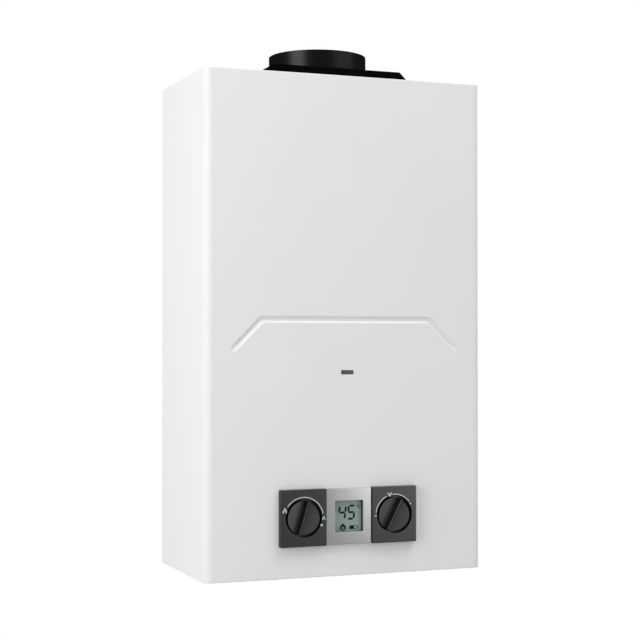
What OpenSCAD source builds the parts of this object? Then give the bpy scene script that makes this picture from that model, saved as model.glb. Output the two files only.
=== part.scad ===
// Wall-hung tankless gas water heater, open flue, battery ignition.
// Millimetres. Front faces -Y, wall plane is y = 0, origin at the middle of the four wall bolts.

/* [Casing] */
// Width of the case
case_w = 328; // [320:1:360]
// Height of the case
case_h = 550; // [540:1:600]
// Depth of the case from the wall
case_d = 168; // [166:1:180]
// Sheet thickness of the cover
cover_t = 1; // [0.8:0.1:1.4]
// Rounding of the two upright front edges
edge_r = 9; // [6:0.5:12]
// Rounding of the edges round the top and the bottom
rim_r = 4; // [3:0.5:6]
// Width of the lip turned in round the open underside
lip_w = 14; // [12:1:20]
// Play between the cover and the chassis inside it
cover_gap = 0.8; // [0.6:0.1:1]

/* [Chassis] */
// Sheet thickness of the back plate
back_t = 1.2; // [1:0.1:2]
// Depth of the flanges turned forward round the back plate
tray_flange = 14; // [10:1:20]
// Sheet thickness of the bottom plate
plate_t = 1.2; // [1:0.1:2]
// Diameter of the four wall bolt holes
wall_hole_d = 8; // [6:0.5:10]
// Distance between the wall bolt holes, side to side
wall_hole_w = 280; // [260:1:290]
// Distance between the wall bolt holes, top to bottom
wall_hole_h = 460; // [440:1:480]
// Length of an air slot in the bottom plate
slot_l = 34; // [20:1:40]
// Width of an air slot
slot_w = 4; // [3:0.5:4]
// Number of air slots in one row
slot_count = 13; // [5:2:15]
// Diameter of every chassis screw shank
screw_d = 4; // [3:0.5:5]

/* [Front groove] */
// Height of the level run above the case bottom
groove_z = 281; // [240:1:320]
// Length of the level run between its two bends
groove_span = 194; // [120:1:220]
// Drop of each slanting leg
groove_drop = 34; // [20:1:50]
// Width of the groove on the front face
groove_w = 9; // [6:0.5:12]
// Depth of the groove
groove_depth = 1.8; // [1:0.1:2.5]

/* [Sight slot] */
// Width of the flame sight slot
sight_w = 15; // [10:1:20]
// Height of the flame sight slot
sight_h = 4.8; // [4:0.2:8]
// Height of the slot above the foot of the combustion chamber
sight_rise = 14; // [10:1:20]

/* [Control panel] */
// Height of the panel's middle above the case bottom
panel_z = 65.5; // [62:0.5:70]
// Width of one of the three panel modules
module_w = 53.6; // [52:0.2:56]
// Height of the panel
panel_h = 62; // [58:1:70]
// How far the dial plates stand out from the front
plate_out = 6.5; // [5:0.5:9]
// How far the display bezel stands out from the front
bezel_out = 4.5; // [3.5:0.5:5]
// Rounding of the dial plates' outer corners
plate_r = 1; // [0.5:0.5:4]
// Wall of the moulded plates
plate_wall = 2; // [1.5:0.1:2.5]
// Width of the display window
window_w = 33; // [28:1:36]
// Height of the display window
window_h = 34; // [28:1:38]
// Thickness of the display glass
glass_t = 2.5; // [2:0.1:3]

/* [Knobs] */
// Diameter of a knob
knob_d = 37.6; // [34:0.1:39]
// Diameter of the well that a knob turns in
well_d = 42; // [41:0.5:46]
// How far a knob's rim stands out from its plate
knob_out = 1.4; // [0:0.1:3]
// Depth of the two hollows beside the grip blade
hollow_depth = 5.5; // [3:0.1:5.8]
// Width of the grip blade at its front edge
blade_w = 3; // [2:0.1:4]
// Width of the grip blade at the foot of the hollows
blade_base = 6.4; // [5:0.1:10]
// Angle of the gas knob's blade, clockwise from upright
gas_turn = 17.6; // [-60:0.1:90]
// Angle of the water knob's blade, clockwise from upright
water_turn = 27.7; // [-60:0.1:60]
// Diameter of the two valve spindles
spindle_d = 6; // [5:0.5:7]

/* [Flue] */
// Bore of the flue collar, for a pipe of 110
flue_d = 110.4; // [100:0.1:112]
// Distance of the hood from the wall
hood_back = 11; // [9:0.5:14]
// Room between the hood and the front of the case
hood_front_room = 27; // [25:0.5:30]
// Sheet thickness of the collar
collar_t = 0.8; // [0.6:0.1:1.2]
// Height of the collar above the hood
collar_h = 22; // [18:1:40]
// Rise of the hood's flat top above the case
hood_rise = 13; // [8:1:20]
// Whole height of the hood
hood_h = 130; // [120:1:140]
// Width of the hood's flat top
hood_top_w = 151; // [140:1:160]
// Sheet thickness of the hood
hood_t = 1; // [0.6:0.1:1.5]
// Room round the hood in the top of the cover
hood_room = 4; // [2:0.5:6]

/* [Heat exchanger] */
// Room for pipes between the combustion chamber and the case's side
side_room = 44; // [43:0.5:50]
// How far the hood stands out round the combustion chamber
hood_lap = 5; // [4:0.5:8]
// How far the hood stands out in front of and behind the combustion chamber
hood_lap_y = 13; // [12:0.5:15]
// Sheet thickness of the combustion chamber
chamber_t = 1; // [0.8:0.1:1.2]
// Wall of every pipe
tube_wall = 1; // [0.8:0.1:1.5]
// Diameter of the water tubes
tube_d = 14; // [12:0.5:15]
// Bend radius of the water tubes
bend_r = 14; // [13:0.5:14.5]
// Number of passes through the fins
pass_count = 5; // [3:2:5]
// Depth of the passes below the chamber's top
pass_drop = 33; // [30:1:36]
// Height of the coil's first turn above the chamber's foot
coil_first = 42; // [38:1:48]
// Height of the first pass above the coil's last turn
feed_rise = 29; // [28:1:40]
// Number of fins
fin_count = 41; // [21:2:61]
// Height of a fin
fin_h = 40; // [34:1:46]
// Thickness of a fin
fin_t = 0.6; // [0.4:0.1:1]

/* [Burner] */
// Number of burner bars
bar_count = 11; // [7:2:11]
// Thickness of a burner bar
bar_t = 8; // [6:0.5:10]
// Height of the burner's foot above the case bottom
burner_foot = 131; // [128:1:134]
// Height of the burner frame
burner_h = 78; // [74:1:82]
// Depth of the bars' tops below the frame's top
bar_drop = 14; // [13:0.5:18]
// Sheet thickness of a burner bar
bar_wall = 0.8; // [0.6:0.1:1.2]

/* [Valves] */
// Distance of the push rod's axis from the wall
valve_y = 70; // [68:1:72]
// Diameter of the valve barrels
barrel_d = 44; // [40:1:46]
// Diameter of the push rod
rod_d = 5; // [4:0.5:6]
// Travel of the push rod
rod_travel = 4; // [3:0.5:4.5]
// Diameter of the diaphragm flanges
diaphragm_d = 66; // [62:1:70]
// Distance of the pipe stubs from the wall
stub_y = 60; // [58:1:62]
// Outside diameter of the stubs' thread, half inch
thread_d = 20.96; // [16:0.01:27]
// Bore of the pipe stubs
stub_bore = 15; // [12:0.5:16]
// How far the stubs reach below the case
stub_out = 15; // [12:1:18]

/* [Battery case] */
// Diameter of a battery cell
cell_d = 34.2; // [32:0.1:35]
// Height of a battery cell
cell_h = 61.5; // [58:0.5:62]
// Wall of the battery case
battery_wall = 2; // [1.5:0.1:2.5]
// Thickness of the battery door
door_t = 2; // [1.5:0.1:2.5]

/* [Hidden] */
$fn = 64;

// Clearances
seat_gap = 0.3;
run_gap = 0.25;
hole_gap = 0.2;

// Chassis levels and edges
bottom_low = cover_t + seat_gap;
bottom_high = bottom_low + plate_t;
tray_half = case_w / 2 - cover_t - cover_gap;
tray_top = case_h - rim_r - cover_gap;
front_in = -case_d + cover_t;
bead_depth = 3;
bead_w = 14;
bead_l = 300;
bead_x = 124;
keyhole_z = case_h - 22;
keyhole_d = 12;
keyhole_slot = 6;
head_h = 2;

// Groove pressed in the front
groove_r = (pow(groove_w / 2, 2) + pow(groove_depth, 2)) / (2 * groove_depth);
groove_axis = -case_d - groove_r + groove_depth;
groove_blend = 0.15;

// Panel and knobs
knob_x = module_w;
plate_front = -case_d - plate_out;
bezel_front = -case_d - bezel_out;
joint_line = 0.4;
carrier_t = 2;
carrier_rim = 4;
carrier_back = front_in + carrier_t;
knob_front = plate_front - knob_out;
knob_back = front_in - 0.8;
knob_edge = 0.5;
socket_end = knob_front + hollow_depth + 1.5;
hub_d = spindle_d + 6;
hub_hole = hub_d + 2;
hub_back = carrier_back + 8;
board_t = 1.6;
glass_w = window_w + 5;
glass_h = window_h + 5;
board_w = window_w + 14;
board_h = glass_h + 4;
panel_screw_d = 3;
panel_screw_x = module_w / 2 - 5.5;
panel_screw_z = panel_h / 2 - 5.5;
post_d = panel_screw_d + 5;

// Stack of hood, chamber and burner
hood_d = case_d - hood_back - hood_front_room;
flue_y = hood_back + hood_d / 2;
chamber_w = case_w - 2 * side_room;
chamber_d = hood_d - 2 * hood_lap_y;
hood_w = chamber_w + 2 * hood_lap;
hood_top = case_h + hood_rise;
hood_foot = hood_top - hood_h;
shoulder = (hood_w - hood_top_w) / 2;
chamber_foot = burner_foot + burner_h;
chamber_h = hood_foot - chamber_foot;
chamber_back = -flue_y + chamber_d / 2;
chamber_front = -flue_y - chamber_d / 2;
sight_z = chamber_foot + sight_rise;
pass_z = hood_foot - pass_drop;
pass_pitch = (chamber_d - tube_d - 10) / (pass_count - 1);
coil_pitch = (chamber_h - pass_drop - coil_first - feed_rise) / 2;
bar_pitch = (chamber_w - 20) / bar_count;
hot_x = chamber_w / 2 + 2;
cell_x = chamber_w / 2;
pass_first = -flue_y - (pass_count - 1) / 2 * pass_pitch;
pass_last = -flue_y + (pass_count - 1) / 2 * pass_pitch;
coil_gap = 0.3;
chamber_r = bend_r - tube_d / 2 - coil_gap;
coil_x = chamber_w / 2 + tube_d / 2 + coil_gap;
coil_front = chamber_front - tube_d / 2 - coil_gap;
coil_back = chamber_back + tube_d / 2 + coil_gap;
coil_low = chamber_foot + coil_first;
union_z = burner_foot - 14;
union_nut = 14;
pipe_bend = 11;
gas_tube_d = 11;
stub_x = chamber_w / 2 + 6;
riser_x = 60;
riser_step = 40;
feed_x = chamber_w / 2 + tube_d + bend_r + 2;
bar_top = chamber_foot - bar_drop;
bar_foot = burner_foot + 4;
bar_end_gap = 1;
bar_corner = 6;
mixer_h = 18;
port_head_h = 30;
riser_l = 22;
port_count = 12;
injector_z = bar_foot + 10;
manifold_rear = chamber_front - 8;
manifold_t = 13;
manifold_foot = injector_z - 14;
electrode_front = -152;
bracket_half = chamber_w / 2 - 20;
bracket_low = chamber_foot + 16;
bracket_high = pass_z + 8;
bracket_rise = 12;
electrode_x = 15;
electrode_z = bar_top + 6;
electrode_d = 7;
ledge_w = 12;

// Linkage valve
knob_z = panel_z;
gas_left = -knob_x - 26;
gas_right = -knob_x + 30;
nose_l = 6;
seat_x = gas_right - 10;
chamber_bore = barrel_d - 14;
gas_out_x = -knob_x + 20;
gas_out_top = knob_z + 28;
drain_x = knob_x + 20;
drain_d = 12;
stub_top = 22;
boss_d = 28;
gland_front = -valve_y - 38;
gland_nut = 4;
diaphragm_t = 2;
flange_t = 5;
water_left = knob_x - 24.6;
water_right = knob_x + 30.4;
cover_face = water_left - diaphragm_t;
drum_depth = rod_travel + 4;
drum_d = diaphragm_d - 18;
recess_d = drum_d - 6;
neck_d = 16;
neck_end = cover_face - drum_depth - 13;
plate_disc_d = recess_d - 6;
plate_disc_t = 2.5;
rod_collar_x = neck_end - 4;
rod_collar_d = 16;
rod_collar_t = 3;
poppet_t = 4;
poppet_d = 20;
flange_screw_r = diaphragm_d / 2 - 4;
spring_wire = 1;
spring_mean = 9;
spring_turns = 6;
switch_low = knob_z + 16;
switch_h = 14;
switch_w = 20;
switch_y = 10;
lever_x = rod_collar_x - seat_gap;
lever_t = 0.8;
lever_room = 3.2;
lever_pivot = switch_low + 12;
lever_tip = knob_z + rod_collar_d / 2 - 1.5;
pivot_d = 1.6;
coil_can_d = 32;
solenoid_flange = 3;
coil_can_l = hot_x - tube_d / 2 - 8.4 + gas_left - solenoid_flange;
plunger_d = 8;
plunger_disc = 22;
plunger_travel = 2.5;
hex_h = 3;
hex_flats = 27;
stub_neck = 19;

// Battery case
cell_pitch = cell_d + 1.3;
bay_w = cell_d + 2;
bay_l = cell_pitch + cell_d + 2;
riser_room = 0.5;
bay_y = -valve_y - tube_d / 2 - riser_room - battery_wall - bay_l / 2;
door_low = 0.5;
door_high = door_low + door_t;
strip_t = 0.5;
bump_h = 3;
cell_low = door_high + strip_t + bump_h + hole_gap;
bay_top = cell_low + cell_h + 1;
hinge_x = cell_x + bay_w / 2 + battery_wall + 4;
hinge_z = door_low + door_t / 2;
hinge_d = 5;
hinge_pin = 2;
ear_l = 5;
door_left = cell_x - bay_w / 2 - battery_wall;
door_l = bay_l + 2 * battery_wall;
cut_gap = 0.6;

// Ignition box
box_x = -chamber_w / 2 + 30;
box_w = 70;
box_d = 36;
box_low = 30;
box_h = 80;

// Leads: points chosen by hand, from the ignition box round the front of the burner to the electrodes
lead_d = 4;
spark_route = [
    [-100, -22, box_low + box_h],
    [-100, -22, 114],
    [-98, -34, 121],
    [-92, -60, 123],
    [-80, -110, 122],
    [-60, -146, 122],
    [-40, -157, 130],
    [-24, -158, 150],
    [-16, -158, 175],
    [-electrode_x, -158, electrode_z - 8],
    [-electrode_x, -156, electrode_z],
    [-electrode_x, electrode_front - seat_gap, electrode_z]
];
probe_route = [
    [-80, -22, box_low + box_h],
    [-80, -22, 114],
    [-76, -34, 121],
    [-66, -60, 123],
    [-50, -110, 124],
    [-20, -146, 124],
    [0, -157, 132],
    [10, -158, 150],
    [electrode_x, -158, 175],
    [electrode_x, -158, electrode_z - 8],
    [electrode_x, -156, electrode_z],
    [electrode_x, electrode_front - seat_gap, electrode_z]
];

// Shared shapes

module placed() {
    translate([0, 0, -case_h / 2]) children();
}

module block(low, high) {
    translate(low) cube(high - low);
}

module rod_x(d, from, to) {
    translate([from, 0, 0]) rotate([0, 90, 0]) cylinder(d = d, h = to - from);
}

module rod_y(d, from, to) {
    translate([0, from, 0]) rotate([-90, 0, 0]) cylinder(d = d, h = to - from);
}

module rod_z(d, from, to) {
    translate([0, 0, from]) cylinder(d = d, h = to - from);
}

module hex_z(flats, from, to) {
    translate([0, 0, from]) cylinder(d = flats / cos(30), h = to - from, $fn = 6);
}

module round_rect(w, h, r) {
    square([w - 2 * r, h], center = true);
    square([w, h - 2 * r], center = true);
    for (x = [-1, 1], y = [-1, 1])
        translate([x * (w / 2 - r), y * (h / 2 - r)]) circle(r = r);
}

// An outline drawn in x and z, given thickness from one y to another
module slab(from, to) {
    translate([0, to, 0]) rotate([90, 0, 0]) linear_extrude(to - from) children();
}

module ring(d) {
    difference() {
        circle(d = d);
        circle(d = d - 2 * tube_wall);
    }
}

// A pipe along a run of points with square bends
module pipe_run(points, d, radius) {
    last = len(points) - 1;
    function heading(i) = (points[i + 1] - points[i]) / norm(points[i + 1] - points[i]);
    function trim(i) = (i == 0 || i == last) ? 0 : radius;
    for (i = [0 : last - 1]) {
        run = heading(i);
        straight = norm(points[i + 1] - points[i]) - trim(i) - trim(i + 1);
        if (straight > 0)
            translate(points[i] + run * trim(i))
                rotate([0, acos(run[2]), atan2(run[1], run[0])]) linear_extrude(straight) ring(d);
    }
    for (i = [1 : last - 1]) {
        along = heading(i - 1);
        out = -heading(i);
        axis = cross(out, along);
        centre = points[i] + (heading(i) - along) * radius;
        multmatrix([
            [out[0], along[0], axis[0], centre[0]],
            [out[1], along[1], axis[1], centre[1]],
            [out[2], along[2], axis[2], centre[2]],
            [0, 0, 0, 1]
        ]) rotate_extrude(angle = 90) translate([radius, 0]) ring(d);
    }
}

// A tube swept along points, as one skin of flat faces
module swept(points, d, sides) {
    count = len(points);
    function ahead(i) = points[min(i + 1, count - 1)] - points[max(i - 1, 0)];
    function unit(v) = v / norm(v);
    function side_of(i) = unit(cross(ahead(i), [0.3, 0.2, 0.93]));
    ring = [for (i = [0 : count - 1]) for (k = [0 : sides - 1])
        let (s = side_of(i), n = unit(cross(s, ahead(i))), a = 360 * k / sides)
            points[i] + d / 2 * (s * cos(a) + n * sin(a))];
    skin = [for (i = [0 : count - 2]) for (k = [0 : sides - 1]) for (half = [0, 1])
        let (j = (k + 1) % sides, p = i * sides, q = (i + 1) * sides)
            half == 0 ? [p + k, p + j, q + j] : [p + k, q + j, q + k]];
    low_cap = [for (k = [1 : sides - 2]) [0, k + 1, k]];
    top = (count - 1) * sides;
    high_cap = [for (k = [1 : sides - 2]) [top, top + k, top + k + 1]];
    polyhedron(points = ring, faces = concat(skin, low_cap, high_cap));
}

// Casing

module case_plan(inset, back) {
    half = case_w / 2 - inset;
    front = -case_d + inset;
    r = edge_r - inset;
    translate([-half, front + r]) square([2 * half, back - front - r]);
    translate([-half + r, front]) square([2 * (half - r), back - front]);
    for (side = [-1, 1]) translate([side * (half - r), front + r]) circle(r = r);
}

// The rounded edge round the top or the bottom, along the sides, the front and the two corners
module rim_form(inset, back) {
    half = case_w / 2 - inset;
    front = -case_d + inset;
    r = rim_r - inset;
    corner = edge_r - inset;
    translate([0, front + r, 0]) rod_x(2 * r, -half + corner, half - corner);
    for (side = [-1, 1]) {
        translate([side * (half - r), 0, 0]) rod_y(2 * r, front + corner, back);
        translate([side * (half - corner), front + corner, 0]) rotate([0, 0, side > 0 ? 270 : 180])
            rotate_extrude(angle = 90) translate([corner - r, 0]) circle(r = r);
    }
}

module case_form(inset, back) {
    low = inset;
    high = case_h - inset;
    r = rim_r - inset;
    translate([0, 0, low]) linear_extrude(high - low) case_plan(rim_r, back);
    translate([0, 0, low + r]) linear_extrude(high - low - 2 * r) case_plan(inset, back);
    for (z = [low + r, high - r]) translate([0, 0, z]) rim_form(inset, back);
}

module groove_form(r) {
    leg = groove_drop * sqrt(2);
    translate([0, groove_axis, groove_z]) {
        rod_x(2 * r, -groove_span / 2, groove_span / 2);
        for (side = [-1, 1]) translate([side * groove_span / 2, 0, 0]) {
            sphere(r = r + groove_blend);
            rotate([0, side * 135, 0]) cylinder(r1 = r, r2 = r - groove_depth - groove_blend, h = leg);
        }
    }
}

module at_panel_screws() {
    for (x = [-knob_x, 0, knob_x], side = [-1, 1])
        translate([x + side * panel_screw_x, 0, panel_z + side * panel_screw_z]) children();
}

module at_cover_screws() {
    for (x = [-1, 1]) {
        translate([x * case_w / 4, -case_d + lip_w / 2 + 1, 0]) children();
        translate([x * (case_w / 2 - lip_w / 2 - 1), -tray_flange - 30, 0]) children();
    }
}

module front_cover() {
    notch = hood_top_w / 2 + hood_rise + hood_room;
    color("whitesmoke") difference() {
        case_form(0, 0);
        difference() {
            case_form(cover_t, 1);
            groove_form(groove_r + cover_t);
        }
        groove_form(groove_r);
        block([-notch, -flue_y - hood_d / 2 - hood_room, case_h - 2 * cover_t], [notch, 1, case_h + 1]);
        block([-case_w / 2 + lip_w, -case_d + lip_w, -1], [case_w / 2 - lip_w, 1, cover_t + 0.2]);
        translate([0, 0, sight_z]) slab(-case_d - 1, front_in + 1) round_rect(sight_w, sight_h, 1.2);
        for (x = [-knob_x, knob_x])
            translate([x, 0, panel_z]) rod_y(well_d, -case_d - 1, front_in + 1);
        translate([0, 0, panel_z]) slab(-case_d - 1, front_in + 1)
            square([glass_w + 2 * hole_gap, glass_h + 2 * hole_gap], center = true);
        at_panel_screws() rod_y(panel_screw_d + 2 * hole_gap, -case_d - 1, front_in + 1);
        at_cover_screws() rod_z(screw_d + 2 * hole_gap, -1, cover_t + 1);
    }
}

module at_bracket_screws() {
    for (side = [-1, 1], z = [bracket_low, bracket_high])
        translate([side * (bracket_half - 20), 0, z]) children();
}

module at_foot_screws() {
    for (x = [-bracket_half, 0, bracket_half]) translate([x, -tray_flange / 2 - 1, 0]) children();
}

module at_box_screws() {
    for (x = [-1, 1]) translate([box_x + x * (box_w / 2 + 6), 0, box_low + box_h / 2]) children();
}

module stiffening_bead(grow) {
    low = case_h / 2 - bead_l / 2 - grow;
    translate([0, 0, low]) linear_extrude(bead_l + 2 * grow) polygon([
        [-bead_w / 2 - grow, 1],
        [-bead_w / 2 - grow, 0],
        [-bead_w / 4 - grow / 2, -bead_depth - grow],
        [bead_w / 4 + grow / 2, -bead_depth - grow],
        [bead_w / 2 + grow, 0],
        [bead_w / 2 + grow, 1]
    ]);
}

module back_plate() {
    hood_notch = hood_top_w / 2 + hood_rise + hood_room + 2;
    color("silver") difference() {
        union() {
            difference() {
                block([-tray_half, -tray_flange, bottom_high], [tray_half, 0, tray_top]);
                block([-tray_half + back_t, -tray_flange - 1, bottom_high + back_t],
                      [tray_half - back_t, -back_t, tray_top - back_t]);
                block([-hood_notch, -tray_flange - 1, tray_top - 2 * back_t],
                      [hood_notch, -back_t, tray_top + 1]);
            }
            for (x = [-bead_x, bead_x]) translate([x, 0, 0]) intersection() {
                stiffening_bead(back_t);
                block([-bead_w, -2 * bead_depth, 0], [bead_w, 0, case_h]);
            }
        }
        for (x = [-bead_x, bead_x]) translate([x, 0, 0]) stiffening_bead(0);
        for (x = [-1, 1], z = [-1, 1])
            translate([x * wall_hole_w / 2, 0, case_h / 2 + z * wall_hole_h / 2])
                rod_y(wall_hole_d, -back_t - 1, 1);
        translate([0, 0, keyhole_z - keyhole_d]) rod_y(keyhole_d, -back_t - 1, 1);
        translate([0, 0, keyhole_z]) rod_y(keyhole_slot, -back_t - 1, 1);
        block([-keyhole_slot / 2, -back_t - 1, keyhole_z - keyhole_d], [keyhole_slot / 2, 1, keyhole_z]);
        at_bracket_screws() rod_y(screw_d + 2 * hole_gap, -back_t - 1, 1);
        at_box_screws() rod_y(screw_d + 2 * hole_gap, -back_t - 1, 1);
        at_foot_screws() rod_z(screw_d + 2 * hole_gap, bottom_high - 1, bottom_high + back_t + 1);
    }
}

module at_stubs() {
    for (x = [-hot_x, -knob_x, knob_x]) translate([x, -stub_y, 0]) children();
}

module bottom_plate() {
    pitch = slot_w * 3;
    plate_l = case_d - cover_t - rim_r;
    color("gainsboro") difference() {
        translate([0, 0, bottom_low]) linear_extrude(plate_t) difference() {
            translate([0, -plate_l / 2]) round_rect(2 * (case_w / 2 - cover_t - rim_r), plate_l, rim_r);
            for (i = [0 : slot_count - 1], y = [0, 1])
                translate([(i - (slot_count - 1) / 2) * pitch - 10, -case_d + lip_w + 10 + y * (slot_l + 6)]) {
                    translate([-slot_w / 2, slot_w / 2]) square([slot_w, slot_l - slot_w]);
                    for (end = [slot_w / 2, slot_l - slot_w / 2]) translate([0, end]) circle(d = slot_w);
                }
        }
        at_stubs() rod_z(stub_neck + 2 * run_gap, 0, bottom_high + 1);
        translate([drain_x, -valve_y, 0]) rod_z(drain_d + 4, 0, bottom_high + 1);
        block([door_left - cut_gap, bay_y - door_l / 2 - cut_gap, 0],
              [hinge_x + hinge_d / 2 + cut_gap, bay_y + door_l / 2 + cut_gap, bottom_high + 1]);
        at_cover_screws() rod_z(screw_d + 2 * hole_gap, 0, bottom_high + 1);
        at_foot_screws() rod_z(screw_d + 2 * hole_gap, 0, bottom_high + 1);
    }
}

// A pan-head screw along +Z with its head's seat at z = 0
module screw(shank, length) {
    rod_z(shank, 0, length);
    translate([0, 0, -head_h]) cylinder(d1 = 1.6 * shank, d2 = 2 * shank, h = head_h);
}

module cover_screws() {
    color("silver") at_cover_screws() screw(screw_d, bottom_high + 5);
}

module chassis_screws() {
    color("silver") {
        at_bracket_screws() translate([0, -back_t - plate_t, 0]) rotate([-90, 0, 0])
            screw(screw_d, back_t + plate_t - 0.2);
        at_box_screws() translate([0, -back_t - battery_wall, 0]) rotate([-90, 0, 0])
            screw(screw_d, back_t + battery_wall - 0.2);
        at_foot_screws() translate([0, 0, bottom_high + back_t]) mirror([0, 0, 1])
            screw(screw_d, back_t + plate_t - 0.1);
    }
}

module sight_glass() {
    color("dimgray") translate([0, 0, sight_z]) slab(front_in, front_in + 2)
        round_rect(sight_w + 10, sight_h + 8, 2);
}

// Control panel

module panel_carrier() {
    w = 3 * module_w + 2 * carrier_rim;
    h = panel_h + 2 * carrier_rim;
    color("dimgray") translate([0, 0, panel_z]) difference() {
        slab(front_in, carrier_back) round_rect(w, h, plate_r);
        for (x = [-knob_x, knob_x]) translate([x, 0, 0]) rod_y(hub_hole, front_in - 1, carrier_back + 1);
        slab(front_in - 1, carrier_back + 1)
            square([glass_w + 2 * hole_gap, glass_h + 2 * hole_gap], center = true);
        translate([0, 0, -panel_z]) at_panel_screws() rod_y(panel_screw_d + 2 * hole_gap, front_in - 1, 0);
    }
}

// A moulded plate with a round well for the knob, open behind to the carrier
module dial_plate(side) {
    w = module_w - joint_line;
    translate([side * knob_x, 0, panel_z]) difference() {
        slab(plate_front, -case_d) round_rect(w, panel_h, plate_r);
        difference() {
            slab(plate_front + plate_wall, -case_d + 1)
                square([w - 2 * plate_wall, panel_h - 2 * plate_wall], center = true);
            rod_y(well_d + 2 * plate_wall, plate_front, -case_d + 2);
            for (k = [-1, 1]) translate([k * panel_screw_x, 0, k * panel_screw_z])
                rod_y(post_d, plate_front, -case_d + 2);
        }
        rod_y(well_d, plate_front - 1, -case_d + 1);
        for (k = [-1, 1]) translate([k * panel_screw_x, 0, k * panel_screw_z])
            rod_y(panel_screw_d + 0.1, plate_front + plate_wall, -case_d + 1);
    }
}

module gas_dial_plate() {
    color("#3c3d3e") dial_plate(-1);
}

module water_dial_plate() {
    color("#3c3d3e") dial_plate(1);
}

module display_bezel() {
    w = module_w - joint_line;
    color("#b9bbbb") translate([0, 0, panel_z]) difference() {
        slab(bezel_front, -case_d) square([w, panel_h - 1], center = true);
        difference() {
            slab(bezel_front + plate_wall, -case_d + 1)
                square([w - 2 * plate_wall, panel_h - 1 - 2 * plate_wall], center = true);
            slab(bezel_front, -case_d + 2)
                square([window_w + 2 * plate_wall, window_h + 2 * plate_wall], center = true);
            for (k = [-1, 1]) translate([k * panel_screw_x, 0, k * panel_screw_z])
                rod_y(post_d, bezel_front, -case_d + 2);
        }
        slab(bezel_front - 1, -case_d + 1) square([window_w, window_h], center = true);
        for (k = [-1, 1]) translate([k * panel_screw_x, 0, k * panel_screw_z])
            rod_y(panel_screw_d + 0.1, bezel_front + plate_wall, -case_d + 1);
    }
}

module display_glass() {
    color("#8fa096") translate([0, 0, panel_z]) slab(carrier_back - glass_t, carrier_back)
        square([glass_w, glass_h], center = true);
}

module display_board() {
    color("seagreen") translate([0, 0, panel_z]) {
        slab(carrier_back, carrier_back + board_t) square([board_w, board_h], center = true);
        block([-9, carrier_back + board_t, -9], [9, carrier_back + board_t + 2, 9]);
        block([-board_w / 2 + 4, carrier_back + board_t, board_h / 2 - 9],
              [board_w / 2 - 20, carrier_back + board_t + 6, board_h / 2 - 3]);
    }
}

module panel_screws() {
    length = carrier_t + cover_t + bezel_out - plate_wall - 0.2;
    color("silver") at_panel_screws() translate([0, carrier_back, 0]) rotate([90, 0, 0])
        screw(panel_screw_d, length);
}

// Knob whose two half-moon hollows slope down to a grip blade, with a hub that drives the spindle's flat
module knob(turn) {
    rim = knob_d / 2 + 1;
    color("#2f3031") rotate([0, turn, 0]) difference() {
        union() {
            translate([0, knob_front, 0]) rotate([-90, 0, 0])
                cylinder(d1 = knob_d - 2 * knob_edge, d2 = knob_d, h = knob_edge);
            rod_y(knob_d, knob_front + knob_edge, knob_back);
            rod_y(hub_d, knob_back - 1, hub_back);
        }
        for (side = [-1, 1]) translate([0, 0, -knob_d]) linear_extrude(2 * knob_d) polygon([
            [side * (blade_w / 2 - 0.3), knob_front - 1],
            [side * blade_base / 2, knob_front + hollow_depth],
            [side * rim, knob_front + knob_edge],
            [side * rim, knob_front - 1]
        ]);
        difference() {
            rod_y(spindle_d + 2 * hole_gap, socket_end, hub_back + 1);
            block([spindle_d / 4 + hole_gap, socket_end - 1, -spindle_d],
                  [spindle_d, hub_back + 2, spindle_d]);
        }
    }
}

module gas_knob() {
    translate([-knob_x, 0, panel_z]) knob(gas_turn);
}

module water_knob() {
    translate([knob_x, 0, panel_z]) knob(water_turn);
}

// Flue

module hood_outline(inset) {
    half = hood_w / 2 - inset;
    slant = inset * tan(22.5);
    polygon([
        [-half, hood_foot],
        [-half, hood_top - shoulder - slant],
        [-hood_top_w / 2 + slant, hood_top - inset],
        [hood_top_w / 2 - slant, hood_top - inset],
        [half, hood_top - shoulder - slant],
        [half, hood_foot]
    ]);
}

module at_rivets() {
    for (a = [45 : 90 : 315])
        translate([0, -flue_y, 0]) rotate([0, 0, a]) translate([flue_d / 2 + collar_t + 4.5, 0, 0])
            children();
}

module draught_hood() {
    low = hood_foot + 10;
    color("#1b1b1b") difference() {
        slab(-flue_y - hood_d / 2, -flue_y + hood_d / 2) hood_outline(0);
        difference() {
            slab(-flue_y - hood_d / 2 + hood_t, -flue_y + hood_d / 2 - hood_t) hood_outline(hood_t);
            block([-hood_w, -case_d, 0], [hood_w, 0, hood_foot]);
        }
        block([-hood_w / 2 + hood_t, -flue_y - hood_d / 2 + hood_t, hood_foot - 1],
              [hood_w / 2 - hood_t, -flue_y + hood_d / 2 - hood_t, hood_foot + 1]);
        block([-hood_w / 2 + 25, -flue_y - hood_d / 2 - 1, low],
              [hood_w / 2 - 25, -flue_y - hood_d / 2 + 2 * hood_t, low + 26]);
        translate([0, -flue_y, 0]) rod_z(flue_d + 2 * hole_gap, hood_top - 2 * hood_t, hood_top + 1);
        at_rivets() rod_z(3 + 2 * hole_gap, hood_top - 2 * hood_t, hood_top + 1);
    }
}

module flue_collar() {
    color("#1b1b1b") difference() {
        translate([0, -flue_y, 0]) {
            rod_z(flue_d + 2 * collar_t, hood_top, hood_top + collar_h);
            rod_z(flue_d + 2 * collar_t + 16, hood_top, hood_top + collar_t);
        }
        translate([0, -flue_y, 0]) rod_z(flue_d, hood_top - 1, hood_top + collar_h + 1);
        at_rivets() rod_z(3 + 2 * hole_gap, hood_top - 1, hood_top + collar_t + 1);
    }
}

module collar_rivets() {
    color("silver") at_rivets() {
        rod_z(3, hood_top - hood_t - 1, hood_top + collar_t);
        translate([0, 0, hood_top + collar_t]) cylinder(d1 = 6, d2 = 4, h = 1.4);
    }
}

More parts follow.
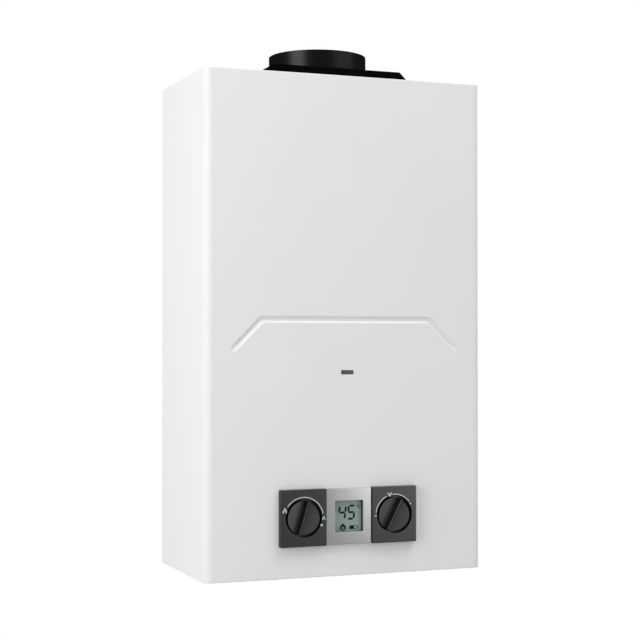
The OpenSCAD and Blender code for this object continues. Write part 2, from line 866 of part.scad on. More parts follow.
// A snap-disc thermostat standing forward from its flange at y = 0
module thermostat() {
    slab(-1, 0) round_rect(26, 12, 3);
    rod_y(17, -10, -0.5);
    for (x = [-5, 5]) block([x - 3, -18, -0.4], [x + 3, -9.5, 0.4]);
}

module spill_thermostat() {
    color("dimgray") translate([hood_w / 2 - 40, -flue_y - hood_d / 2, hood_foot + 60]) thermostat();
}

module overheat_thermostat() {
    color("dimgray") translate([chamber_w / 4, chamber_front, coil_low + 1.5 * coil_pitch]) thermostat();
}

// Heat exchanger

module at_passes() {
    for (i = [0 : pass_count - 1]) translate([0, pass_first + i * pass_pitch, pass_z]) children();
}

module combustion_chamber() {
    half = chamber_w / 2;
    color("#b5713f") difference() {
        union() {
            translate([0, -flue_y, chamber_foot]) linear_extrude(chamber_h)
                round_rect(chamber_w, chamber_d, chamber_r);
            block([-hood_w / 2 - 1, -flue_y - hood_d / 2 - 1, hood_foot - chamber_t],
                  [hood_w / 2 + 1, -flue_y + hood_d / 2 + 1, hood_foot]);
        }
        translate([0, -flue_y, chamber_foot - 1]) linear_extrude(chamber_h + 2)
            round_rect(chamber_w - 2 * chamber_t, chamber_d - 2 * chamber_t, chamber_r - chamber_t);
        at_passes() rod_x(tube_d + 2 * hole_gap, -half - 1, half + 1);
        translate([0, 0, sight_z]) slab(chamber_front - 1, chamber_front + 2 * chamber_t)
            round_rect(sight_w + 6, sight_h + 6, 3);
    }
}

module heat_fins() {
    span = chamber_w - 2 * chamber_r - 2;
    color("#c9824e") for (i = [0 : fin_count - 1])
        translate([-span / 2 + i * span / (fin_count - 1) - fin_t / 2, 0, 0]) difference() {
            block([0, chamber_front + chamber_t + seat_gap, pass_z - fin_h / 2],
                  [fin_t, chamber_back - chamber_t - seat_gap, pass_z + fin_h / 2]);
            at_passes() rod_x(tube_d + hole_gap, -1, fin_t + 1);
        }
}

// The passes through the fins, joined by return bends outside the chamber's walls
module fin_tubes() {
    color("#b87333") {
        at_passes() translate([-stub_x, 0, 0]) rotate([0, 90, 0]) linear_extrude(2 * stub_x) ring(tube_d);
        for (i = [0 : pass_count - 2]) {
            side = i % 2 == 0 ? -1 : 1;
            translate([side * stub_x, pass_first + (i + 0.5) * pass_pitch, pass_z])
                rotate([0, 0, side > 0 ? -90 : 90]) rotate_extrude(angle = 180)
                    translate([pass_pitch / 2, 0]) ring(tube_d);
        }
    }
}

// Two turns round the chamber, each climbing to the next at the back, then the feed to the first pass
module chamber_coil() {
    level = [for (i = [0 : 2]) coil_low + i * coil_pitch];
    color("#b87333") pipe_run([
        [coil_x, -valve_y, union_z],
        [coil_x, -valve_y, level[0]],
        [coil_x, coil_front, level[0]],
        [-coil_x, coil_front, level[0]],
        [-coil_x, coil_back, level[0]],
        [riser_x, coil_back, level[0]],
        [riser_x, coil_back, level[1]],
        [coil_x, coil_back, level[1]],
        [coil_x, coil_front, level[1]],
        [-coil_x, coil_front, level[1]],
        [-coil_x, coil_back, level[1]],
        [riser_x - riser_step, coil_back, level[1]],
        [riser_x - riser_step, coil_back, level[2]],
        [feed_x, coil_back, level[2]],
        [feed_x, pass_first, level[2]],
        [feed_x, pass_first, pass_z],
        [stub_x, pass_first, pass_z]
    ], tube_d, bend_r);
}

module stack_brackets() {
    t = plate_t;
    front = chamber_back;
    back = -back_t;
    color("silver") difference() {
        for (z = [bracket_low, bracket_high]) {
            low = z - bracket_rise;
            high = z + bracket_rise;
            block([-bracket_half, back - t, low], [bracket_half, back, high]);
            block([-bracket_half, front, low], [bracket_half, back, low + t]);
            block([-bracket_half, front, z == bracket_low ? chamber_foot - 18 : low],
                  [bracket_half, front + t, high]);
        }
        at_bracket_screws() rod_y(screw_d + 2 * hole_gap, back - 2 * t, 0);
    }
}

// Burner

module at_bars() {
    for (i = [0 : bar_count - 1]) translate([(i - (bar_count - 1) / 2) * bar_pitch, 0, 0]) children();
}

module burner_frame() {
    half = chamber_w / 2;
    t = chamber_t;
    color("lightgray") difference() {
        union() {
            difference() {
                block([-half, chamber_front, burner_foot], [half, chamber_back, chamber_foot]);
                block([-half + t, chamber_front + t, burner_foot - 1],
                      [half - t, chamber_back - t, chamber_foot + 1]);
            }
            for (y = [chamber_front + t / 2, chamber_back - t / 2 - ledge_w])
                block([-half + t / 2, y, bar_foot - t], [half - t / 2, y + ledge_w, bar_foot]);
        }
        at_bars() translate([0, 0, injector_z]) rod_y(12, chamber_front - 1, chamber_front + 2 * t);
        for (x = [-electrode_x, electrode_x]) translate([x, 0, electrode_z])
            rod_y(electrode_d + 2 * hole_gap, chamber_front - 1, chamber_front + 2 * t);
    }
}

// One bar seen from the side: a mixing tube along its foot that turns up at the back into the port head
module bar_outline(inset) {
    long = chamber_d - 2 * chamber_t - 2 * bar_end_gap;
    high = bar_top - bar_foot;
    difference() {
        round_rect(long - 2 * inset, high - 2 * inset, bar_corner - inset);
        translate([-long / 2 - 1, mixer_h - high / 2 - inset])
            square([long - riser_l + 1 + inset, high - mixer_h - port_head_h + 2 * inset]);
    }
}

module bar_form(inset) {
    translate([-bar_t / 2 + inset, -flue_y, (bar_foot + bar_top) / 2])
        rotate([90, 0, 90]) linear_extrude(bar_t - 2 * inset) bar_outline(inset);
}

module burner_bar() {
    front = chamber_front + chamber_t + bar_end_gap;
    row = chamber_d - 2 * chamber_t - 2 * bar_end_gap - 2 * bar_corner;
    pitch = row / port_count;
    difference() {
        bar_form(0);
        bar_form(bar_wall);
        translate([0, 0, injector_z]) rod_y(bar_t - 2, front - 1, front + 2 * bar_wall);
        for (k = [0 : port_count - 1]) translate([0, front + bar_corner + (k + 0.5) * pitch, bar_top])
            block([-bar_t / 2 + 2 * bar_wall, -1, -2 * bar_wall], [bar_t / 2 - 2 * bar_wall, 1, 1]);
    }
}

module burner_bars() {
    color("darkgray") at_bars() burner_bar();
}

module gas_manifold() {
    half = (bar_count - 1) / 2 * bar_pitch + 14;
    rear = manifold_rear;
    front = rear - manifold_t;
    color("lightgray") difference() {
        union() {
            slab(front, rear) translate([0, injector_z]) round_rect(2 * half, 20, 5);
            for (x = [-1, 1]) block([x * half - (x > 0 ? 6 : 0), front + 3, injector_z - 5],
                                    [x * half + (x > 0 ? 0 : 6), chamber_front, injector_z + 5]);
            translate([gas_out_x, (front + rear) / 2, 0]) rod_z(gas_tube_d, manifold_foot, injector_z);
        }
        translate([0, (front + rear) / 2, injector_z]) rod_x(8, -half + 4, half - 4);
        translate([gas_out_x, (front + rear) / 2, 0])
            rod_z(gas_tube_d - 2 * tube_wall, manifold_foot - 1, injector_z);
        at_bars() translate([0, 0, injector_z]) rod_y(1.2, (front + rear) / 2, rear + 1);
    }
}

module gas_injectors() {
    color("goldenrod") at_bars() translate([0, manifold_rear, injector_z]) rotate([-90, 0, 0])
        difference() {
        union() {
            hex_z(8, 0, 4);
            translate([0, 0, 4]) cylinder(d1 = 7, d2 = 4, h = 3.4);
        }
        rod_z(1.2, -1, 9);
    }
}

module electrode_bracket() {
    t = plate_t;
    color("silver") difference() {
        slab(chamber_front - t, chamber_front) translate([0, electrode_z - 1]) round_rect(60, 16, 3);
        for (x = [-electrode_x, electrode_x]) translate([x, 0, electrode_z])
            rod_y(electrode_d + 2 * hole_gap, chamber_front - 2 * t, chamber_front + 1);
    }
}

// Ceramic body with a seating collar, and a wire that reaches back over the bars
module electrode(reach) {
    seat = chamber_front - plate_t;
    translate([0, 0, electrode_z]) {
        rod_y(electrode_d, electrode_front + 2, chamber_front + 8);
        rod_y(electrode_d + 4, seat - 4, seat);
        rod_y(2, electrode_front, chamber_front + reach);
    }
}

module spark_electrode() {
    color("white") translate([-electrode_x, 0, 0]) electrode(24);
}

module flame_probe() {
    color("white") translate([electrode_x, 0, 0]) electrode(36);
}

module spark_lead() {
    color("black") swept(spark_route, lead_d, 8);
}

module probe_lead() {
    color("firebrick") swept(probe_route, lead_d, 8);
}

// Gas side of the linkage valve

module gas_valve_body() {
    color("darkgray") difference() {
        union() {
            translate([0, -valve_y, knob_z]) {
                rod_x(barrel_d, gas_left, gas_right);
                rod_x(neck_d, gas_right - 1, gas_right + nose_l);
                block([gas_right - 6, -switch_y / 2, 0], [gas_right, switch_y / 2, switch_low - knob_z]);
                block([gas_right - 6, -switch_y / 2, switch_low - knob_z - 4],
                      [gas_right + 12, switch_y / 2, switch_low - knob_z]);
            }
            translate([-knob_x, -stub_y, 0]) rod_z(boss_d, stub_top, knob_z);
            translate([-knob_x, 0, knob_z]) rod_y(26, gland_front, -valve_y);
            translate([-knob_x, gland_front - gland_nut, knob_z]) rotate([-90, 0, 0])
                hex_z(22, 0, gland_nut + 1);
            translate([gas_out_x, -valve_y, 0]) rod_z(20, knob_z, gas_out_top);
        }
        translate([0, -valve_y, knob_z]) {
            rod_x(chamber_bore, gas_left - 1, seat_x);
            rod_x(14, seat_x - 1, seat_x + 4);
            rod_x(rod_d + 2 * run_gap, seat_x, gas_right + nose_l + 1);
        }
        translate([-knob_x, -stub_y, 0]) rod_z(stub_bore, stub_top - 1, knob_z);
        translate([gas_out_x, -valve_y, 0]) rod_z(10, knob_z, gas_out_top + 1);
        translate([-knob_x, 0, knob_z]) rod_y(spindle_d + 4 + 2 * run_gap, -valve_y - 30, -valve_y);
        translate([-knob_x, 0, knob_z])
            rod_y(spindle_d + 2 * run_gap, gland_front - gland_nut - 1, -valve_y);
    }
}

// A valve spindle with a shouldered foot in the gland and a flat for the knob
module spindle(turn) {
    tip = socket_end + seat_gap;
    foot = -valve_y - 10;
    rotate([0, turn, 0]) difference() {
        union() {
            rod_y(spindle_d, tip, foot);
            rod_y(spindle_d + 4, -valve_y - 29.5, foot);
        }
        block([spindle_d / 4, tip - 1, -spindle_d], [spindle_d, hub_back + 1, spindle_d]);
    }
}

module gas_spindle() {
    color("goldenrod") translate([-knob_x, 0, knob_z]) spindle(gas_turn);
}

module gas_solenoid() {
    color("slategray") translate([0, -valve_y, knob_z]) difference() {
        union() {
            rod_x(barrel_d - 2, gas_left - solenoid_flange, gas_left);
            rod_x(coil_can_d, gas_left - solenoid_flange - coil_can_l, gas_left - solenoid_flange + 0.5);
        }
        rod_x(plunger_d + 2 * run_gap, gas_left - coil_can_l, gas_left + 1);
    }
}

module solenoid_plunger() {
    color("silver") translate([0, -valve_y, knob_z]) {
        rod_x(plunger_d, gas_left - coil_can_l + plunger_travel + 1, gas_left + plunger_travel + 1);
        rod_x(plunger_disc, gas_left + plunger_travel + 0.5, gas_left + plunger_travel + 3.5);
    }
}

module gas_poppet() {
    color("black") translate([0, -valve_y, knob_z])
        rod_x(poppet_d, seat_x - poppet_t - seat_gap, seat_x - seat_gap);
}

// Threaded stub with a hexagon that bears on the bottom plate
module pipe_stub(top) {
    difference() {
        union() {
            rod_z(thread_d, -stub_out, bottom_low - hex_h);
            hex_z(hex_flats, bottom_low - hex_h, bottom_low);
            rod_z(stub_neck, bottom_low - 0.5, top);
        }
        rod_z(stub_bore, -stub_out - 1, top + 1);
    }
}

module gas_inlet_stub() {
    color("goldenrod") translate([-knob_x, -stub_y, 0]) pipe_stub(stub_top);
}

module gas_riser() {
    level = burner_foot - 17;
    front = manifold_rear - manifold_t / 2;
    color("silver") pipe_run([
        [gas_out_x, -valve_y, gas_out_top],
        [gas_out_x, -valve_y, level],
        [gas_out_x, front, level],
        [gas_out_x, front, manifold_foot]
    ], gas_tube_d, pipe_bend);
}

// Water side of the linkage valve

module at_flange_screws() {
    translate([0, -valve_y, knob_z]) for (a = [30 : 60 : 330])
        rotate([a, 0, 0]) translate([0, 0, flange_screw_r]) children();
}

module water_valve_body() {
    color("goldenrod") difference() {
        union() {
            translate([0, -valve_y, knob_z]) {
                rod_x(diaphragm_d, water_left, water_left + flange_t);
                rod_x(barrel_d, water_left, water_right);
                rod_x(tube_d + 8, water_right - 1, water_right + 6);
            }
            translate([knob_x, -stub_y, 0]) rod_z(boss_d, stub_top, knob_z);
            translate([knob_x, 0, knob_z]) rod_y(26, gland_front, -valve_y);
            translate([knob_x, gland_front - gland_nut, knob_z]) rotate([-90, 0, 0])
                hex_z(22, 0, gland_nut + 1);
            translate([drain_x, -valve_y, 0]) rod_z(drain_d + 6, knob_z - barrel_d / 2 - 8, knob_z);
        }
        translate([0, -valve_y, knob_z]) {
            rod_x(recess_d, water_left - 1, water_left + 3);
            rod_x(chamber_bore - 6, water_left, water_right - 8);
            rod_x(10, water_left, water_right + 7);
        }
        translate([knob_x, -stub_y, 0]) rod_z(stub_bore, stub_top - 1, knob_z);
        translate([knob_x, 0, knob_z]) rod_y(spindle_d + 4 + 2 * run_gap, -valve_y - 30, -valve_y);
        translate([knob_x, 0, knob_z])
            rod_y(spindle_d + 2 * run_gap, gland_front - gland_nut - 1, -valve_y);
        at_flange_screws() rod_x(screw_d + 2 * hole_gap, water_left - 1, water_left + flange_t + 1);
        translate([drain_x, -valve_y, 0]) rod_z(drain_d + 2 * hole_gap, 0, knob_z - barrel_d / 2 + 1);
    }
}

module diaphragm_cover() {
    color("goldenrod") difference() {
        translate([0, -valve_y, knob_z]) {
            rod_x(diaphragm_d, cover_face - flange_t, cover_face);
            rod_x(drum_d, cover_face - drum_depth - 4, cover_face - flange_t + 1);
            rod_x(neck_d, neck_end, cover_face - drum_depth - 3);
        }
        translate([0, -valve_y, knob_z]) {
            rod_x(recess_d, cover_face - drum_depth, cover_face + 1);
            rod_x(rod_d + 2 * run_gap, neck_end - 1, cover_face);
        }
        at_flange_screws() rod_x(screw_d + 2 * hole_gap, cover_face - flange_t - 1, cover_face + 1);
    }
}

module diaphragm() {
    color("black") difference() {
        translate([0, -valve_y, knob_z]) rod_x(diaphragm_d, cover_face, water_left);
        at_flange_screws() rod_x(screw_d + 2 * hole_gap, cover_face - 1, water_left + 1);
    }
}

module push_rod() {
    disc = cover_face - seat_gap;
    color("silver") translate([0, -valve_y, knob_z]) {
        rod_x(plate_disc_d, disc - plate_disc_t, disc);
        rod_x(rod_d, seat_x - seat_gap, disc - plate_disc_t + 0.5);
        rod_x(rod_collar_d, rod_collar_x, rod_collar_x + rod_collar_t);
    }
}

// Return spring between the gas side's nose and the rod's collar, as one helix
module rod_spring() {
    from = gas_right + nose_l + seat_gap + spring_wire / 2;
    to = rod_collar_x - seat_gap - spring_wire / 2;
    rings = 12;
    steps = spring_turns * rings;
    color("silver") translate([0, -valve_y, knob_z]) swept([
        for (i = [0 : steps]) let (a = 360 * i / rings)
            [from + (to - from) * i / steps, spring_mean / 2 * cos(a), spring_mean / 2 * sin(a)]
    ], spring_wire, 6);
}

module water_spindle() {
    color("goldenrod") translate([knob_x, 0, knob_z]) spindle(water_turn);
}

module flange_screws() {
    color("silver") at_flange_screws() translate([cover_face - flange_t, 0, 0]) rotate([0, 90, 0])
        screw(screw_d, 2 * flange_t + diaphragm_t - 0.2);
}

// Switch that the push rod's collar works through a hanging lever
module micro_switch() {
    right = lever_x - lever_t - lever_room;
    color("#222222") translate([0, -valve_y, 0]) difference() {
        union() {
            block([right - switch_w, -switch_y / 2, switch_low],
                  [right, switch_y / 2, switch_low + switch_h]);
            for (y = [-1, 1]) block([right - 1, y * (switch_y / 2 - 1) - 1, lever_pivot - 2.5],
                                    [lever_x + 1.6, y * (switch_y / 2 - 1) + 1, lever_pivot + 2]);
        }
        translate([lever_x - lever_t / 2, 0, lever_pivot])
            rod_y(pivot_d + 2 * run_gap, -switch_y, switch_y);
    }
}

module switch_lever() {
    color("silver") translate([0, -valve_y, 0]) {
        block([lever_x - lever_t, -switch_y / 2 + 2.5, lever_tip],
              [lever_x, switch_y / 2 - 2.5, lever_pivot]);
        translate([lever_x - lever_t / 2, 0, lever_pivot]) rod_y(pivot_d, -switch_y / 2, switch_y / 2);
    }
}

module drain_plug() {
    top = knob_z - barrel_d / 2 - 2;
    color("goldenrod") translate([drain_x, -valve_y, 0]) {
        rod_z(drain_d, bottom_high, top);
        rod_z(drain_d + 2.5, -2, knob_z - barrel_d / 2 - 8);
        hex_z(drain_d, -7, -1.5);
    }
}

module cold_inlet_stub() {
    color("goldenrod") translate([knob_x, -stub_y, 0]) pipe_stub(stub_top);
}

module hot_outlet_stub() {
    color("goldenrod") translate([-hot_x, -stub_y, 0]) {
        pipe_stub(stub_top);
        difference() {
            hex_z(24, stub_top, stub_top + 12);
            rod_z(tube_d + 2 * hole_gap, stub_top - 1, stub_top + 13);
        }
    }
}

module cold_riser() {
    color("#b87333") {
        pipe_run([
            [water_right + 6, -valve_y, knob_z],
            [coil_x, -valve_y, knob_z],
            [coil_x, -valve_y, union_z]
        ], tube_d, bend_r);
        translate([coil_x, -valve_y, 0]) difference() {
            hex_z(tube_d + 6, union_z - union_nut, union_z - 1);
            rod_z(tube_d - tube_wall, union_z - 2 * union_nut, union_z);
        }
    }
}

module hot_pipe() {
    outer = chamber_w / 2 + tube_d + pipe_bend + 2;
    level = burner_foot - tube_d / 2 - 3;
    color("#b87333") pipe_run([
        [-stub_x, pass_last, pass_z],
        [-outer, pass_last, pass_z],
        [-outer, pass_last, level],
        [-outer, -stub_y, level],
        [-hot_x, -stub_y, level],
        [-hot_x, -stub_y, stub_top]
    ], tube_d, pipe_bend);
}

// Electrics

module ignition_box() {
    back = -back_t;
    top = box_low + box_h;
    color("#20242a") translate([box_x, 0, 0]) {
        difference() {
            translate([0, 0, box_low + box_h / 2]) slab(back - box_d, back) round_rect(box_w, box_h, 4);
            translate([0, 0, box_low + box_h / 2]) difference() {
                slab(back - box_d + 8, back - box_d + 9) square([2 * box_w, 2 * box_h], center = true);
                slab(back - box_d + 7, back - box_d + 10) round_rect(box_w - 1.5, box_h - 1.5, 3.5);
            }
        }
        difference() {
            translate([0, 0, box_low + box_h / 2]) slab(back - battery_wall, back)
                round_rect(box_w + 24, 16, 4);
            for (x = [-1, 1]) translate([x * (box_w / 2 + 6), 0, box_low + box_h / 2])
                rod_y(screw_d + 2 * hole_gap, back - 9, 1);
            block([-box_w / 2 + 1, back - 9, 0], [box_w / 2 - 1, 1, top]);
        }
    }
}

module battery_case() {
    w = bay_w + 2 * battery_wall;
    ear = hinge_d / 2 + 0.6;
    color("#2a2a2a") difference() {
        union() {
            translate([cell_x, bay_y, bottom_high]) linear_extrude(bay_top + battery_wall - bottom_high)
                round_rect(w, door_l, 3);
            translate([cell_x, bay_y, bottom_high]) linear_extrude(battery_wall)
                round_rect(w + 16, door_l + 12, 3);
            for (y = [bay_y - door_l / 2, bay_y + door_l / 2 - ear_l])
                translate([hinge_x, y, hinge_z]) {
                    rod_y(2 * ear, 0, ear_l);
                    block([-ear, 0, 0], [ear, ear_l, bottom_high + 0.5 - hinge_z]);
                }
        }
        translate([cell_x, bay_y, 0]) block([-bay_w / 2, -bay_l / 2, 0], [bay_w / 2, bay_l / 2, bay_top]);
        translate([hinge_x, bay_y, hinge_z]) rod_y(hinge_pin + 2 * run_gap, -door_l, door_l);
        block([hinge_x - hinge_d / 2 - cut_gap - 1, bay_y - door_l / 2 + ear_l, bottom_low],
              [hinge_x + hinge_d / 2 + cut_gap, bay_y + door_l / 2 - ear_l, hinge_z + hinge_d / 2 + cut_gap]);
    }
}

module at_cells() {
    for (side = [-1, 1]) translate([cell_x, bay_y + side * cell_pitch / 2, 0]) children();
}

module battery_cells() {
    color("darkslategray") at_cells() {
        rod_z(cell_d, cell_low, cell_low + cell_h - 2);
        rod_z(9.5, cell_low + cell_h - 2.5, cell_low + cell_h);
    }
}

module battery_contacts() {
    color("silver") at_cells() block([-8, -8, bay_top - 0.6], [8, 8, bay_top]);
}

module battery_door() {
    barrel = door_l - 2 * ear_l - 2 * run_gap;
    color("whitesmoke") {
        translate([0, bay_y, 0]) block([door_left, -door_l / 2, door_low],
                                       [hinge_x - hinge_d / 2 - cut_gap, door_l / 2, door_high]);
        translate([0, bay_y, 0]) block([hinge_x - hinge_d, -barrel / 2, door_low],
                                       [hinge_x, barrel / 2, door_high]);
        translate([hinge_x, bay_y, hinge_z]) {
            rod_y(hinge_d, -barrel / 2, barrel / 2);
            rod_y(hinge_pin, -door_l / 2 + 0.5, door_l / 2 - 0.5);
        }
        translate([door_left + battery_wall + 1.2, bay_y, 0])
            block([0, -5, door_high - 0.5], [1.6, 5, door_high + 6]);
        translate([door_left + 3, bay_y, 0]) block([0, -9, door_low - 1.2], [3, 9, door_low + 0.5]);
    }
    color("silver") {
        translate([cell_x, bay_y, door_high])
            block([-5, -cell_pitch / 2 - 8, -0.2], [5, cell_pitch / 2 + 8, strip_t]);
        at_cells() translate([0, 0, door_high + strip_t - 0.1]) cylinder(d1 = 10, d2 = 6, h = bump_h + 0.1);
    }
}

placed() front_cover();
placed() back_plate();
placed() bottom_plate();
placed() cover_screws();
placed() sight_glass();
placed() panel_carrier();
placed() gas_dial_plate();
placed() water_dial_plate();
placed() display_bezel();
placed() display_glass();
placed() display_board();
placed() panel_screws();
placed() gas_knob();
placed() water_knob();
placed() draught_hood();
placed() flue_collar();
placed() collar_rivets();
placed() spill_thermostat();
placed() combustion_chamber();
placed() heat_fins();
placed() fin_tubes();
placed() chamber_coil();
placed() stack_brackets();
placed() chassis_screws();
placed() overheat_thermostat();
placed() burner_frame();
placed() burner_bars();
placed() gas_manifold();
placed() gas_injectors();
placed() electrode_bracket();
placed() spark_electrode();
placed() flame_probe();
placed() spark_lead();
placed() probe_lead();
placed() gas_valve_body();
placed() gas_spindle();
placed() gas_solenoid();
placed() solenoid_plunger();
placed() gas_poppet();
placed() gas_inlet_stub();
placed() gas_riser();
placed() water_valve_body();
placed() diaphragm_cover();
placed() diaphragm();
placed() push_rod();
placed() rod_spring();
placed() water_spindle();
placed() flange_screws();
placed() micro_switch();
placed() switch_lever();
placed() drain_plug();
placed() cold_inlet_stub();
placed() hot_outlet_stub();
placed() cold_riser();
placed() hot_pipe();
placed() ignition_box();
placed() battery_case();
placed() battery_cells();
placed() battery_contacts();
placed() battery_door();
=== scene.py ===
"""Looks of the wall-hung tankless gas water heater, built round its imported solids."""

import math

import bmesh
import bpy
import numpy as np
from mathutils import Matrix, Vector


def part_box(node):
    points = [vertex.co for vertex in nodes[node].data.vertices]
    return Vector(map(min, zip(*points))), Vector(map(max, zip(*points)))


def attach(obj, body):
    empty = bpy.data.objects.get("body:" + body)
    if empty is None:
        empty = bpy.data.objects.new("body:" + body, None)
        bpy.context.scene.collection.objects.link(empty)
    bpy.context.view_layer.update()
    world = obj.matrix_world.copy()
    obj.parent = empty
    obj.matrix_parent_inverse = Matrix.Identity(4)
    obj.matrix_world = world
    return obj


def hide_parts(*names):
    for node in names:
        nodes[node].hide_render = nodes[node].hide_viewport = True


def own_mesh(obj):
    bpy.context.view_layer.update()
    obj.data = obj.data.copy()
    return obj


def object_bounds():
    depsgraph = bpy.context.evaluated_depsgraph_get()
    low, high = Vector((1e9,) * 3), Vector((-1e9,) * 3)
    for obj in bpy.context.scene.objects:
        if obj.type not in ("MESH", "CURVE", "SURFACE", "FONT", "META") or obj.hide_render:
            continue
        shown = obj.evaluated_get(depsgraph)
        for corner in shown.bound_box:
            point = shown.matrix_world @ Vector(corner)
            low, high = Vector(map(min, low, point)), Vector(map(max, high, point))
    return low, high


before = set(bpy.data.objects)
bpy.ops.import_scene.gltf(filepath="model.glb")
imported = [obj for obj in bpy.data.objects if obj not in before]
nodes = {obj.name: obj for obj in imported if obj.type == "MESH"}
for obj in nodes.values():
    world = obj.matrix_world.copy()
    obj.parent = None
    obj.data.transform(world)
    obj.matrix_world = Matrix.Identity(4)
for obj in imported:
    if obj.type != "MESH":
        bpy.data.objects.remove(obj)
cad_low, cad_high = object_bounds()


# Back plate, bottom plate and brackets: hot-dip galvanised steel sheet, cut, pressed and folded.
# The zinc freezes in flat crystals, some 11 mm across, that each catch the light at their own angle.
MM = 0.001


def linear(code):
    """An sRGB hex colour as the linear colour that a shader takes."""
    parts = [int(code[i:i + 2], 16) / 255 for i in (1, 3, 5)]
    return [p / 12.92 if p <= 0.04045 else ((p + 0.055) / 1.055) ** 2.4 for p in parts] + [1.0]


def finish(name):
    """A new material without nodes, and its node tree."""
    made = bpy.data.materials.new(name)
    made.use_nodes = True
    made.node_tree.nodes.clear()
    return made, made.node_tree


def add(tree, kind, inputs=None, **settings):
    """One node with its settings, its input values and its links."""
    made = tree.nodes.new("ShaderNode" + kind)
    for key, value in settings.items():
        setattr(made, key, value)
    for key, value in (inputs or {}).items():
        if isinstance(value, bpy.types.NodeSocket):
            tree.links.new(value, made.inputs[key])
        else:
            made.inputs[key].default_value = value
    return made


def dress(material, *names):
    """Gives carried-over CAD nodes their material."""
    for name in names:
        nodes[name].data.materials.clear()
        nodes[name].data.materials.append(material)


galvanised, tree = finish("galvanised steel")
place = add(tree, "TexCoord").outputs["Object"]
crystals = add(tree, "TexVoronoi", {"Vector": place, "Scale": 1 / (11 * MM)})
share = add(tree, "SeparateColor", {0: crystals.outputs["Color"]})
zinc = add(tree, "Mix", {0: share.outputs[0], 6: linear("#A7ABAE"), 7: linear("#C3C6C8")}, data_type="RGBA")
dull = add(tree, "MapRange", {0: share.outputs[1], 3: 0.34, 4: 0.5})
shader = add(tree, "BsdfPrincipled", {
    "Base Color": zinc.outputs[2],
    "Metallic": 1.0,
    "Roughness": dull.outputs[0],
})
add(tree, "OutputMaterial", {0: shader.outputs[0]})
dress(galvanised, "back_plate", "bottom_plate", "stack_brackets")


# Screws inside the case: mild steel, cold headed, thread rolled and zinc plated.
# The plating has a faint mottled bloom, so its sheen breaks up in spots.
def spots(tree, size, detail, tones):
    """Noise in spots of a real size, and the drift between two tones that follows it."""
    place = add(tree, "TexCoord").outputs["Object"]
    noise = add(tree, "TexNoise", {"Vector": place, "Scale": 1 / size, "Detail": detail}).outputs[0]
    tone = add(tree, "Mix", {0: noise, 6: linear(tones[0]), 7: linear(tones[1])}, data_type="RGBA")
    return noise, tone.outputs[2]


def mottled(name, size, detail, tones, rough, values=None, grain=None):
    """A spotted finish. Its roughness may be a pair, and its grain is a bump's height and strength."""
    made, tree = finish(name)
    noise, tone = spots(tree, size, detail, tones)
    if isinstance(rough, tuple):
        rough = add(tree, "MapRange", {0: noise, 3: rough[0], 4: rough[1]}).outputs[0]
    inputs = {"Base Color": tone, "Roughness": rough, **(values or {})}
    if grain:
        bump = add(tree, "Bump", {"Height": noise, "Distance": grain[0], "Strength": grain[1]})
        inputs["Normal"] = bump.outputs[0]
    shader = add(tree, "BsdfPrincipled", inputs)
    add(tree, "OutputMaterial", {0: shader.outputs[0]})
    return made


zinc_plate = mottled("zinc plated steel", 2.5 * MM, 3.0, ("#A9ABA8", "#D0D1CE"), 0.33, {"Metallic": 1.0})
dress(zinc_plate, "panel_screws", "chassis_screws", "flange_screws")


# Draught hood and flue collar: folded and rolled steel sheet under black heat-proof enamel.
# The enamel is sprayed and slightly uneven. It is nearly matt, with a weak gloss along the round collar.
def near_black(name, size, detail, tones, share, rough, grain=None):
    """A dark spotted finish that is matt but for a weak share of gloss, which a grain can roughen."""
    made, tree = finish(name)
    noise, tone = spots(tree, size, detail, tones)
    inputs = {"Roughness": rough}
    if grain:
        bump = add(tree, "Bump", {"Height": noise, "Distance": grain[0], "Strength": grain[1]})
        inputs["Normal"] = bump.outputs[0]
    matt = add(tree, "BsdfDiffuse", {"Color": tone})
    gloss = add(tree, "BsdfGlossy", inputs, distribution="GGX")
    both = add(tree, "MixShader", {0: share, 1: matt.outputs[0], 2: gloss.outputs[0]})
    add(tree, "OutputMaterial", {0: both.outputs[0]})
    return made


black_enamel = near_black("black heat-proof enamel", 1.2 * MM, 4.0, ("#050505", "#0A0A0A"), 0.007, 0.3,
                          (0.02 * MM, 0.3))
hood_enamel = near_black("matt heat-proof enamel", 1.2 * MM, 4.0, ("#020202", "#070707"), 0.001, 0.5)
dress(black_enamel, "collar_rivets")
dress(hood_enamel, "draught_hood")
weld, sharp_angle = 0.002 * MM, 32


def skin(name, loops, ring=False, open_loops=False):
    """A mesh of quads over loops of points. A ring joins its last loop to its first."""
    count = len(loops[0])
    points = [tuple(p) for loop in loops for p in loop]
    faces = []
    for i in range(len(loops) if ring else len(loops) - 1):
        near, far = i * count, (i + 1) % len(loops) * count
        for k in range(count - 1 if open_loops else count):
            step = (k + 1) % count
            faces.append((near + k, near + step, far + step, far + k))
    mesh = bpy.data.meshes.new(name)
    mesh.from_pydata(points, [], faces)
    return mesh


def piece(name, mesh, body, slot, *replaced, materials, sharp=sharp_angle):
    """An object of the part, smooth but for its sharp edges, with its body and replaced nodes. Its slot is
    not used.
    """
    shaped = bmesh.new()
    shaped.from_mesh(mesh)
    bmesh.ops.remove_doubles(shaped, verts=shaped.verts, dist=weld)
    if not any(e.is_boundary for e in shaped.edges):
        bmesh.ops.recalc_face_normals(shaped, faces=shaped.faces)
    shaped.to_mesh(mesh)
    shaped.free()
    mesh.shade_smooth()
    mesh.set_sharp_from_angle(angle=math.radians(sharp))
    for material in materials:
        mesh.materials.append(material)
    made = bpy.data.objects.new(name, mesh)
    bpy.context.scene.collection.objects.link(made)
    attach(made, body)
    if replaced:
        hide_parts(*replaced)
    return made


